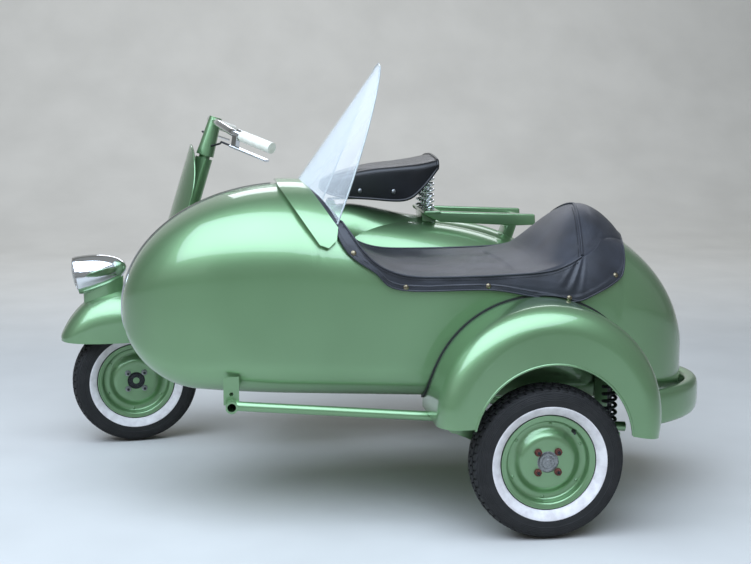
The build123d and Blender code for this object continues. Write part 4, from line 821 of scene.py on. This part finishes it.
def cover_point(u, v):
    x = cover_xs[round(u * (len(cover_xs) - 1))]
    line = outlines[x]
    q = 1 - abs(2 * v - 1)
    side = -1 if v < 0.5 else 1
    hem_z = value_at(hem_line, x)
    panel_z = value_at(seam_line, x)
    half = value_at(hump_fine, x) if x > 560 else 0.0
    top = line[-1][1]
    corner_z = min(panel_z, top - 0.5)
    if half:
        corner_z = min(corner_z, skin_height(line, half))
    corner_z = max(corner_z, hem_z + 0.6)
    run = stretch(line, hem_z, corner_z)
    corner_y = run[-1][0]
    if q < skirt_share:
        y, z = walk(run, q / skirt_share)
        out = 0.0
        from_hem = q / skirt_share * (corner_z - hem_z)
        if from_hem < 13:
            out += 1.3
        out += 1.2 * sin(pi * q / skirt_share) * sin(x / 23 + 3 * side) * sin(x / 61)
        out += pleat(x, z)
        for sx, sz in snap_spots:
            out -= 1.6 * exp(-((x - sx) ** 2 + (z - sz) ** 2) / 420)
        out = max(out, -2.0)
        return Vector((x, hull_y + side * (y + out), z))
    inward = (q - skirt_share) / (1 - skirt_share)
    y = corner_y * (1 - inward)
    base = min(panel_z, skin_height(line, y))
    sag = 5.5 * sin(pi * min(1, inward * 1.3)) ** 2 if x < 420 else 0.0
    drape = 1.6 * sin(x / 47 + y / 31) * sin(x / 19 - y / 83) * min(1, 4 * inward)
    rolled = 3.5 * exp(-((corner_y - y) / 5) ** 2)
    flat = base - sag + drape - rolled
    z = blend_up(flat, hump_height(x, y), 16)
    return Vector((x, hull_y + side * y, z))


cover_columns = 220
cover_xs = []
for k in range(cover_columns + 1):
    share = k / cover_columns
    cover_xs.append(walk(seam_line, share)[0] if share < 1 else 644.0)
cover_xs = sorted(min(x, 644.0) for x in cover_xs)
outlines = {x: outline(x, cover_grow) for x in cover_xs}

# %% Cover sheet, seams and snaps
bm = bmesh.new()
place_grid(bm, cover_columns, 170, cover_point)
bmesh.ops.remove_doubles(bm, verts=bm.verts, dist=0.05)
trapped = []
for vert in bm.verts:
    away = sqrt((vert.co.x - arch_centre[0]) ** 2 + (vert.co.z - arch_centre[1]) ** 2)
    if away < arch_reach and vert.co.y < -400:
        trapped.append(vert)
for vert in trapped:
    dx, dz = vert.co.x - arch_centre[0], vert.co.z - arch_centre[1]
    away = sqrt(dx * dx + dz * dz)
    vert.co.x = arch_centre[0] + dx * arch_reach / away
    vert.co.z = arch_centre[1] + dz * arch_reach / away
bmesh.ops.smooth_vert(bm, verts=[v for v in bm.verts if v.co.z > 560], factor=0.35, use_axis_x=True,
                      use_axis_y=True, use_axis_z=True)
bmesh.ops.recalc_face_normals(bm, faces=bm.faces)
if sum(face.normal.z * face.calc_area() for face in bm.faces) < 0:
    bmesh.ops.reverse_faces(bm, faces=bm.faces)
cover_area = sum(face.calc_area() for face in bm.faces) * 1e-6
cover = finish(bm, "cockpit_cover", "frame", vinyl, ("cockpit_trim",), 180, outward=False)
thicken(cover, 2.4)


def on_skirt(x, z, out=0.0):
    """A point of the near skirt at a place in side view."""
    line = stretch(outline(x, cover_grow + out), z - 30, z)
    return Vector((x, hull_y - line[-1][0], z))


bm = bmesh.new()
near_seam = [on_skirt(x, min(value_at(seam_line, x), 760), 1.0) for x in range(-120, 492, 6)]
sweep_tube(bm, near_seam, 2.6, 10)
finish(bm, "cover_piping", "frame", vinyl, (), 60, mirror_y=hull_y)


# The hem is turned over a cord, all the way round the sheet
hem_path = [cover_point(u / 120, 0) for u in range(4, 121)]
hem_path += [cover_point(1, v / 60) for v in range(1, 60)]
hem_path += [cover_point(u / 120, 1) for u in range(120, 3, -1)]
hem_path = [a for a, b in zip(hem_path, hem_path[1:]) if (b - a).length > 0.8]
bm = bmesh.new()
sweep_tube(bm, hem_path, 2.3, 10)
finish(bm, "cover_hem_cord", "frame", vinyl, (), 60)


def stitches(path):
    """A row of thread stitches along a path."""
    length, gap, radius = 4.5, 3.0, 0.7
    bm = bmesh.new()
    walked = 0.0
    for a, b in zip(path, path[1:]):
        step = (b - a).length
        while walked < step:
            start = a.lerp(b, walked / step)
            end = a.lerp(b, min(1, (walked + length) / step))
            if (end - start).length > 0.8:
                turn = (end - start).to_track_quat("Z", "X").to_matrix().to_4x4()
                bmesh.ops.create_cone(
                    bm, cap_ends=True, segments=6, radius1=radius, radius2=radius,
                    depth=(end - start).length, matrix=Matrix.Translation((start + end) / 2) @ turn,
                )
            walked += length + gap
        walked -= step
    return bm


def even(points, step):
    """The same line with points a set distance apart."""
    out = [Vector(points[0])]
    for a, b in zip(points, points[1:]):
        a, b = Vector(a), Vector(b)
        while (b - out[-1]).length > step:
            out.append(out[-1] + (b - out[-1]).normalized() * step)
    return out


hem_stitch = [on_skirt(x, value_at(hem_line, x) + 11, 1.6) for x in range(-84, 600, 4)]
finish(stitches(even(hem_stitch, 7.5)), "cover_hem_thread", "frame", thread, (), 60, mirror_y=hull_y)
seam_stitch = [on_skirt(x, value_at(seam_line, x) - 8, 0.9) for x in range(-112, 488, 4)]
finish(stitches(even(seam_stitch, 7.5)), "cover_seam_thread", "frame", thread, (), 60, mirror_y=hull_y)

bm = bmesh.new()
for sx, sz in snap_spots:
    spot = on_skirt(sx, sz, -0.6)
    ahead = on_skirt(sx + 4, sz, -0.6) - spot
    upward = on_skirt(sx, sz + 4, -0.6) - spot
    way = ahead.cross(upward).normalized()
    if way.y > 0:
        way = -way
    dome(bm, spot, way, 7.0, 3.6, 28, 6)
finish(bm, "cover_snaps", "frame", brass, (), 60, mirror_y=hull_y)

# The gusset seam climbs from the junction over the hump, with a bound edge behind it
gusset = []
for k in range(25):
    share = k / 24
    x = 490 + 44 * share
    y = -243 + 243 * share ** 1.15
    gusset.append(Vector((x, hull_y + y, 0)))
for spot in gusset:
    line = outline(spot.x, cover_grow)
    y = abs(spot.y - hull_y)
    base = min(value_at(seam_line, spot.x), skin_height(line, y))
    spot.z = blend_up(base, hump_height(spot.x, y), 16) + 1.0
bm = bmesh.new()
sweep_tube(bm, gusset, 3.4, 12)
finish(bm, "cover_gusset_piping", "frame", vinyl, (), 60, mirror_y=hull_y)
beside = [spot + Vector((-9, 0, -1.5)) for spot in gusset]
finish(stitches(even(beside, 7.5)), "cover_gusset_thread", "frame", thread, (), 60, mirror_y=hull_y)
# The area of the cover sheet in square metres, summed over its faces.
print("cover area", round(cover_area, 3))

# %% [markdown]
# The saddle is moulded hide over a pressed pan: a flat-topped shell with soft shoulders, open below
# and at its back, its edge rolled over wire. Rows across the seat are joined by a smooth curve, the
# sheet gets its thickness from a wall, and the rolled edge is a tube along its rim. It stands on four
# coil springs, wound here as real helices of wire.

# %% Saddle
saddle_table = (
    (-96, 22, 798, 772), (-45, 58, 822, 752), (50, 104, 846, 746), (150, 142, 858, 744),
    (200, 148, 864, 776), (252, 140, 874, 838),
)
saddle_fine = [tuple(row) for row in curve_through([Vector(row) for row in saddle_table], steps=8)]
scooter_y = 360
nose_x = -95.5


def saddle_section(x):
    """Half of a section of the saddle, from its lower edge to the middle of its top."""
    half, top, low = (value_at(saddle_fine, max(x, -96), k) for k in range(3))
    if x < nose_x + 9:
        t = max(0.0, (x - nose_x) / 9)
        half = max(0.3, half * sqrt(t * (2 - t)))
        top = top - 14 * (1 - t) ** 2
        low = low + 4 * (1 - t) ** 2
    soft = min(20.0, half * 0.5)
    points = [
        (half - 1.5, low, 0), (half, low + (top - low) * 0.35, 0), (half - 0.5, top - 14 - soft * 0.5, 0),
        (half - soft * 0.38, top - 13.5, 0), (half - soft, top - 9.5, 0), (half * 0.55, top - 4.0, 0),
        (0, top, 0),
    ]
    return [(p.x, p.y) for p in curve_through(points, steps=5)]


def saddle_point(u, v):
    x = nose_x + (252 - nose_x) * u ** 1.2
    side = -1 if v < 0.5 else 1
    y, z = walk(saddle_section(x), 1 - abs(2 * v - 1))
    dip = 2.5 * exp(-((x - 150) / 70) ** 2 - ((y - 62) / 45) ** 2)
    return Vector((x, scooter_y + side * y, z - dip))


bm = bmesh.new()
place_grid(bm, 90, 96, saddle_point)
bmesh.ops.recalc_face_normals(bm, faces=bm.faces)
if sum(face.normal.z * face.calc_area() for face in bm.faces) < 0:
    bmesh.ops.reverse_faces(bm, faces=bm.faces)
saddle_leather = finish(bm, "saddle_leather", "saddle", leather, ("saddle_pad",), 60, outward=False)
wall = thicken(saddle_leather, 6).modifiers["wall"]
# The wall thins toward the nose, or its two sides would push through each other there.
taper = saddle_leather.vertex_groups.new(name="wall")
for vert in saddle_leather.data.vertices:
    taper.add([vert.index], max(0.0, min(1.0, (vert.co.x / mm - nose_x) / 12)), "REPLACE")
wall.vertex_group = taper.name
wall.use_even_offset = False

rim_path = []
for k in range(37):
    x = nose_x + 9 + (252 - nose_x - 9) * k / 36
    y, z = saddle_section(x)[0]
    rim_path.append(Vector((x, scooter_y - y, z + 1)))
rear = saddle_section(252)
rim_path += [Vector((252, scooter_y - y, z)) for y, z in rear[3::3]]
whole_rim = rim_path + [Vector((p.x, 2 * scooter_y - p.y, p.z)) for p in reversed(rim_path[:-1])]
bm = bmesh.new()
sweep_tube(bm, whole_rim, 4.2, 12)
finish(bm, "saddle_rolled_edge", "saddle", leather, (), 60)
outer_stitch = [Vector((p.x, scooter_y - saddle_section(p.x)[2][0] - 0.4, p.z + 11)) for p in rim_path[5:35]]
finish(stitches(even(outer_stitch, 7.5)), "saddle_thread", "saddle", thread, (), 60, mirror_y=scooter_y)

bm = bmesh.new()
for x, z in ((23, 770), (120, 770)):
    half = value_at(saddle_fine, x)
    dome(bm, (x, scooter_y - half + 0.2, z), (0.25, -1, 0), 7.5, 3.5, 28, 6)
finish(bm, "saddle_rivets", "saddle", steel, (), 60, mirror_y=scooter_y)


# %% Coil springs
def coil_path(centre, radius, low, high, turns, flare=0.0):
    """A helix of wire that closes flat at both ends; flare widens its ends."""
    steps_a_turn = 18
    out = []
    count = int(turns * steps_a_turn)
    for k in range(count + 1):
        t = k / count
        lift = min(max((t - 0.06) / 0.88, 0.0), 1.0)
        r = radius * (1 + flare * (2 * t - 1) ** 2)
        turn = 2 * pi * turns * t
        spot = Vector(centre)
        out.append(Vector((spot.x + r * cos(turn), spot.y + r * sin(turn), low + (high - low) * lift)))
    return out


bm = bmesh.new()
for offset in (-80, -27, 27, 80):
    path = coil_path((236, scooter_y + offset, 0), 13.4, 712, 823, 7.5, 0.03)
    sweep_tube(bm, path, 3.2, 9)
finish(bm, "saddle_coils", "frame", chrome, ("saddle_springs",), 50)
bm = bmesh.new()
for offset in (-80, -27, 27, 80):
    for z in (708.6, 825.2):
        prism(bm, (236, scooter_y + offset, z), (0, 0, 1), 9.5, 2.4, 28, 0.6)
finish(bm, "saddle_spring_seats", "frame", chrome, (), 35)


def upright_spring(node, body, wire, turns, name, core, coat):
    """A helix in the place of an upright CAD spring, round a plain damper rod."""
    low, high = (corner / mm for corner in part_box(node))
    centre = (low + high) / 2
    reach = (high.x - low.x) / 2 - wire
    bm = bmesh.new()
    sweep_tube(bm, coil_path(centre, reach, low.z + wire, high.z - wire, turns), wire, 9)
    finish(bm, name, body, coat, (node,), 50)
    if core:
        bm = bmesh.new()
        prism(bm, (centre.x, centre.y, low.z), (0, 0, 1), core, high.z - low.z, 28, 1.0)
        finish(bm, name + "_rod", body, steel, (), 35)


upright_spring("sidecar_spring", "frame", 4.2, 8, "sidecar_coil", 6, dull_steel)

# %% [markdown]
# The screen is one sheet of clear acrylic bent over the nose of the cockpit and held in a pressed
# green band. Its polished cut edge is a thin rod laid along the edge, coloured pale so that it shows
# as a bright line: a painted highlight on the real edge.


# %% Windscreen edge, cowl screws and studs
def arc_through(a, b, c, count):
    """Points of the circle through three places in side view, from the first to the last."""
    ax, az, bx, bz, cx, cz = *a, *b, *c
    d = 2 * (ax * (bz - cz) + bx * (cz - az) + cx * (az - bz))
    a2, b2, c2 = ax * ax + az * az, bx * bx + bz * bz, cx * cx + cz * cz
    ox = (a2 * (bz - cz) + b2 * (cz - az) + c2 * (az - bz)) / d
    oz = (a2 * (cx - bx) + b2 * (ax - cx) + c2 * (bx - ax)) / d
    reach = sqrt((ax - ox) ** 2 + (az - oz) ** 2)
    first = atan2(az - oz, ax - ox)
    turns = [(atan2(z - oz, x - ox) - first + pi) % (2 * pi) - pi for x, z in (b, c)]
    if turns[0] * turns[1] < 0 or abs(turns[1]) < abs(turns[0]):
        turns[1] += 2 * pi if turns[0] > 0 else -2 * pi
    return [
        (ox + reach * cos(first + turns[1] * k / count), oz + reach * sin(first + turns[1] * k / count))
        for k in range(count + 1)
    ]


screen_foot, screen_tip, screen_radius = (-198, 853), (8, 1142), 314
screen_way = Vector((screen_tip[0] - screen_foot[0], screen_tip[1] - screen_foot[1])).normalized()
edge_points = []
for x, z in arc_through((-126, 752), (-32, 1010), screen_tip, 48):
    back = (x - screen_foot[0]) * screen_way.y - (z - screen_foot[1]) * screen_way.x
    reach = screen_radius - 2
    back = min(max(back, 0.0), reach)
    edge_points.append(Vector((x, hull_y - sqrt(reach ** 2 - (reach - back) ** 2), z)))
edge_points[-1].y = hull_y
whole_edge = edge_points + [Vector((p.x, 2 * hull_y - p.y, p.z)) for p in reversed(edge_points[:-1])]
# The rod carries the painted highlight of the screen's edge.
bm = bmesh.new()
sweep_tube(bm, whole_edge, 2.3, 10)
finish(bm, "screen_edge", "frame", painted_bright_acrylic_edge, (), 60)


def hull_normal(x, z, grow):
    line = stretch(outline(x, grow), z - 40, z)
    spot = Vector((x, hull_y - line[-1][0], z))
    ahead_line = stretch(outline(x + 4, grow), z - 40, z)
    ahead = Vector((x + 4, hull_y - ahead_line[-1][0], z))
    upper = stretch(outline(x, grow), z - 40, z + 4)
    above = Vector((x, hull_y - upper[-1][0], upper[-1][1]))
    way = (ahead - spot).cross(above - spot).normalized()
    return spot, way if way.y < 0 else -way


bm = bmesh.new()
for x, z in ((-171, 785), (-191, 769)):
    spot, way = hull_normal(x, z, 12)
    dome(bm, spot, way, 5.2, 2.6, 24, 5)
spot, way = hull_normal(-246, 842, 3)
dome(bm, spot, way, 6.5, 5.0, 24, 6)
finish(bm, "cowl_screws", "frame", chrome, (), 60, mirror_y=hull_y)

# %% [markdown]
# The fender's mouth is rolled over a wire, as the edge of any pressed guard is, so a round bead
# follows its opening. The rails of the carrier are folded channel with round backs.

# %% Rolled edges of the fender
mouth = arc_through((177, 281), (359, 436), (562, 239), 60)
roll = [Vector((x, -723.5, z)) for x, z in mouth if z > 250]
bm = bmesh.new()
sweep_tube(bm, roll, 3.4, 12)
finish(bm, "fender_rolled_edge", "frame", enamel, (), 60)

# %% [markdown]
# The carrier is folded from sheet: two rounded rails that deepen towards the tail, on a plate over
# the springs' feet and a stay down to the body. A rounded block of four corner points makes each.


# %% Rear carrier
def slab(bm, corners, near, far, soft):
    """A bevelled piece of plate from its corners in side view, between two y."""
    verts = [bm.verts.new((x, y, z)) for y in (near, far) for x, z in corners]
    bmesh.ops.convex_hull(bm, input=verts)
    edges = {edge for vert in verts for edge in vert.link_edges}
    bmesh.ops.dissolve_limit(bm, angle_limit=radians(1), verts=verts, edges=list(edges))
    edges = {edge for vert in verts if vert.is_valid for edge in vert.link_edges}
    bmesh.ops.bevel(
        bm, geom=list(edges), offset=soft, segments=4, affect="EDGES", profile=0.5,
        clamp_overlap=True, material=-1,
    )


rail_corners = ((214, 708), (560, 694), (562, 661), (500, 660), (266, 674), (214, 699))
carrier = (
    ((246, 446), (274, 474), rail_corners, 9.0),
    ((242, 478), None, ((216, 708), (266, 708), (266, 700), (216, 700)), 3.0),
    ((262, 458), None, ((516, 688), (540, 686), (540, 660), (516, 660)), 6.0),
    ((320, 400), None, ((500, 680), (530, 680), (490, 560), (450, 560)), 6.0),
    ((300, 420), None, ((216, 701), (264, 701), (256, 600), (226, 600)), 5.0),
)
bm = bmesh.new()
for starts, ends, corners, soft in carrier:
    spans = zip(starts, ends) if ends else [starts]
    for near, far in spans:
        slab(bm, corners, near, far, soft)
finish(bm, "carrier_rails", "frame", enamel, ("rear_rack",), 35)

# %% [markdown]
# The bumper is a deep pressed channel bent round the tail, its edges turned in close to the body. A
# squared oval swept along the tail's own ellipse makes it, and its ends are drawn in and closed.

# %% Bumper
bumper_outer = Vector((454, 310))
bumper_inner = Vector((411, 286))
bumper_half_turn = radians(59.4)


def bumper_point(u, v):
    turn = bumper_half_turn * (2 * u - 1)
    near_end = min(1.0, min(u, 1 - u) / 0.03)
    draw = 0.55 + 0.45 * sqrt(1 - (1 - near_end) ** 2)
    across, upright = cos(2 * pi * v), sin(2 * pi * v)
    across = draw * abs(across) ** 0.6 * (1 if across > 0 else -1)
    upright = draw * abs(upright) ** 0.6 * (1 if upright > 0 else -1)
    reach = bumper_inner.lerp(bumper_outer, 0.5 + 0.5 * across)
    return Vector((430 + reach.x * cos(turn), hull_y + reach.y * sin(turn), 265 + 45 * upright))


bm = bmesh.new()
place_grid(bm, 120, 40, bumper_point)
bmesh.ops.remove_doubles(bm, verts=bm.verts, dist=0.05)
bmesh.ops.holes_fill(bm, edges=[e for e in bm.edges if e.is_boundary], sides=0)
finish(bm, "bumper_bar", "frame", enamel, ("sidecar_bumper",), 50)

# %% [markdown]
# Under the cover sit a cushion on its board and a backrest, both foam in a sewn vinyl case. Each
# starts as a cube mapped to its place a little undersized, is remeshed evenly, blown up as cloth with
# no gravity so that its faces crown between the corners, and held to a few millimetres of swelling.


# %% Cushion and backrest
def padded_form(where):
    """A cube of cells mapped by a formula of three shares from 0 to 1."""
    cells = 12
    bm = bmesh.new()
    bmesh.ops.create_cube(bm, size=1)
    bmesh.ops.subdivide_edges(bm, edges=bm.edges[:], cuts=cells, use_grid_fill=True)
    for vert in bm.verts:
        a, b, c = vert.co * 2
        x = a * sqrt(1 - 0.16 * b * b - 0.16 * c * c + 0.05 * b * b * c * c)
        y = b * sqrt(1 - 0.16 * a * a - 0.16 * c * c + 0.05 * a * a * c * c)
        z = c * sqrt(1 - 0.16 * a * a - 0.16 * b * b + 0.05 * a * a * b * b)
        vert.co = where(*(0.5 + 0.5 * t for t in (x, y, z)))
    return bm


def blow_up(piece, cap):
    """Swells a closed case as cloth under pressure, no vertex further than cap millimetres."""
    scene = bpy.context.scene
    cells = piece.modifiers.new("even", "REMESH")
    cells.mode = "VOXEL"
    cells.voxel_size = 0.006
    view = bpy.context.evaluated_depsgraph_get()
    even_mesh = bpy.data.meshes.new_from_object(piece.evaluated_get(view))
    piece.modifiers.clear()
    piece.data = even_mesh
    cloth = piece.modifiers.new("blown", "CLOTH")
    cloth.settings.use_pressure = True
    cloth.settings.uniform_pressure_force = 4
    cloth.settings.effector_weights.gravity = 0
    for step in range(1, 21):
        scene.frame_set(step)
    view = bpy.context.evaluated_depsgraph_get()
    swollen = bpy.data.meshes.new_from_object(piece.evaluated_get(view))
    for old, new in zip(even_mesh.vertices, swollen.vertices):
        move = new.co - old.co
        if move.length > cap * mm:
            move *= cap * mm / move.length
        old.co = old.co + move
    piece.modifiers.clear()
    scene.frame_set(1)
    for face in even_mesh.polygons:
        face.use_smooth = True


def cushion_place(x, y, z):
    top = 470 - 30 * max(0.0, (x * 305 - 30) / 260)
    return Vector((158 + 290 * x, hull_y + 354 * (y - 0.5), 403 + (top - 409) * z))


def backrest_place(x, y, z):
    front = 469 + 30 * z
    rear = 545 + 30 * z
    side = 360 * (y - 0.5) * (1 - 0.18 * max(0.0, z - 0.7) / 0.3)
    spot = front + (rear - front) * x
    roof = hump_height(min(max(spot, 492), 575), min(abs(side), 150)) - 26
    return Vector((spot, hull_y + side, 412 + (min(roof, 742) - 412) * z))


for name, node, where, fill in (
    ("seat_cushion", "sidecar_cushion", cushion_place, 0.7),
    ("seat_backrest", "sidecar_backrest", backrest_place, 0.8),
):
    pad = finish(padded_form(where), name, "frame", vinyl, (node,), 180)
    blow_up(pad, 5)
    print(pad.name, len(pad.data.vertices))

# %% [markdown]
# Most rigid CAD pieces already have the right form. A copy of each is merged into one skin, its
# smooth faces shaded as one and its corners kept crisp, and it takes the finish of the real piece.


# %% Smooth copies of the rigid CAD pieces
def dressed(node, material):
    source = nodes[node]
    bm = bmesh.new()
    bm.from_mesh(source.data)
    bmesh.ops.remove_doubles(bm, verts=bm.verts, dist=0.00002)
    bmesh.ops.scale(bm, vec=(1000, 1000, 1000), verts=bm.verts)
    crease = 32
    return finish(bm, node + "_dressed", source["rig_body"], material, (node,), crease, outward=False)


green_nodes = (
    "fork", "front_link", "front_mudguard", "headlamp_foot", "head_tube", "sidecar_body", "screen_cowl",
    "sidecar_fender", "chassis_rails", "chassis_cross_tubes", "chassis_strut", "sidecar_swing_arm",
    "sidecar_brackets", "sidecar_bumper", "rear_body", "left_cowl", "right_cowl", "leg_shield",
    "floorboard", "scooter_brackets",
)
plain_finishes = plain_finishes | {
    "hand_levers": chrome, "headlamp_shell": chrome, "nose_bead": chrome, "foot_controls": chrome,
    "headlamp_glass": lens, "windscreen": acrylic, "tail_lamp": red_lens, "handlebar": chrome,
    "handlebar_grips": cream, "control_cables": welt_rubber, "fender_welt": welt_rubber,
    "floor_treads": welt_rubber, "saddle_frame": steel, "silencer": steel,
    "front_spring": dull_steel, "sidecar_spring": dull_steel, "rear_damper": dull_steel,
    "engine_arm": alloy, "engine_block": alloy, "sidecar_seat_box": board, "saddle_pad": leather,
    "cockpit_trim": vinyl, "sidecar_cushion": vinyl, "sidecar_backrest": vinyl, "saddle_springs": chrome,
}
for wheel in ("front", "rear", "sidecar"):
    plain_finishes[wheel + "_tyre"] = rubber
    plain_finishes[wheel + "_rim"] = enamel
    plain_finishes.setdefault(wheel + "_hub", steel)
for node in green_nodes:
    plain_finishes[node] = enamel
for node in sorted(plain_finishes):
    if node not in replaced:
        dressed(node, plain_finishes[node])

# The head casting under the chromed bar is painted with the body
casting = bpy.data.objects["handlebar_dressed"]
casting.data.materials.append(enamel)
for face in casting.data.polygons:
    if abs(face.center.y - 0.36) < 0.042:
        face.material_index = 1

# %% [markdown]
# The studio: a pale floor and a pale backdrop, a broad soft light from above the camera, a fill from
# the left and a long strip behind, so that the crowns of the panels glow as they do under open sky.
# The world shows the camera, and what is seen through glass, a near-white ground; reflections see a dimmer
# pale room.

# %% Floor, backdrop and light
floor_paint, shader = surface("pale_studio_floor", {"Roughness": 0.9})
scuff = speckle(floor_paint, 0.4, 3.0)
tone = tint(floor_paint, scuff.outputs["Fac"], 0.3, 0.7, colour("BEBDB9"), colour("C6C5C1"))
connect(floor_paint, tone.outputs["Color"], shader.inputs["Base Color"])

bm = bmesh.new()
sweep_line = [Vector((0, -14, 0)), Vector((0, 5, 0))]
sweep_line += [Vector((0, 5 + 3 * sin(t), 3 - 3 * cos(t))) for t in (pi / 2 * k / 16 for k in range(1, 17))]
sweep_line.append(Vector((0, 8, 12)))
place_grid(bm, 1, len(sweep_line) - 1, lambda u, v: sweep_line[round(v * (len(sweep_line) - 1))]
           + Vector((40 * u - 20, 0, 0)))
for face in bm.faces:
    face.smooth = True
floor_mesh = bpy.data.meshes.new("studio_floor")
bm.to_mesh(floor_mesh)
bm.free()
floor = bpy.data.objects.new("studio_floor", floor_mesh)
floor_mesh.materials.append(floor_paint)
bpy.context.scene.collection.objects.link(floor)


def soft_light(name, place, aim, size, power, hue="FFFFFF"):
    lamp = bpy.data.lights.new(name, "AREA")
    lamp.color = colour(hue)[:3]
    lamp.shape = "RECTANGLE"
    lamp.size, lamp.size_y = size
    lamp.energy = power
    holder = bpy.data.objects.new(name, lamp)
    bpy.context.scene.collection.objects.link(holder)
    holder.location = place
    way = Vector(aim) - Vector(place)
    holder.rotation_euler = way.to_track_quat("-Z", "Y").to_euler()
    return holder


soft_light("sky_panel", (-0.8, -1.5, 3.2), (0, 0, 0.5), (6.0, 3.6), 310, "D9E9FF")
soft_light("left_fill", (-4.6, -2.4, 2.4), (0, -0.2, 0.6), (4.0, 3.0), 12, "F1F5FF")
soft_light("back_strip", (0.8, 3.2, 2.6), (0, 0, 0.6), (3.5, 0.8), 24, "F1F5FF")
soft_light("backdrop_wash", (0, 3.0, 3.6), (0, 8.0, 1.6), (8.0, 1.0), 190)

world = bpy.data.worlds.new("studio_air")
bpy.context.scene.world = world
world.use_nodes = True
world.node_tree.nodes.clear()
paths = add_node(world, "ShaderNodeLightPath")
room = add_node(world, "ShaderNodeBackground", {"Color": colour("DCE2E4"), "Strength": 0.36})
white = add_node(world, "ShaderNodeBackground", {"Color": colour("F2F2F1"), "Strength": 1.0})
seen = add_node(
    world, "ShaderNodeMath", {"operation": "MAXIMUM"},
    {0: paths.outputs["Is Camera Ray"], 1: paths.outputs["Is Transmission Ray"]},
)
blend = add_node(
    world, "ShaderNodeMixShader", None,
    {"Fac": seen.outputs["Value"], 1: room.outputs["Background"], 2: white.outputs["Background"]},
)
add_node(world, "ShaderNodeOutputWorld", None, {"Surface": blend.outputs["Shader"]})

# %% [markdown]
# The camera stands where the photographer stood: it was solved from the wheels' ellipses and the
# ground line, and the same numbers hold for the CAD model.

# %% Camera
camera_place = (-0.4498, -3.6752, 1.0921)
camera_turn = -7.5
camera_drop = 8.603
camera_data = bpy.data.cameras.new("photo_camera")
camera_data.lens = 63.05
camera_data.sensor_width = 36
camera = bpy.data.objects.new("photo_camera", camera_data)
camera.location = camera_place
camera.rotation_euler = (radians(90 - camera_drop), 0, radians(camera_turn))
bpy.context.scene.collection.objects.link(camera)
bpy.context.scene.camera = camera
bpy.context.scene.view_settings.view_transform = "Standard"
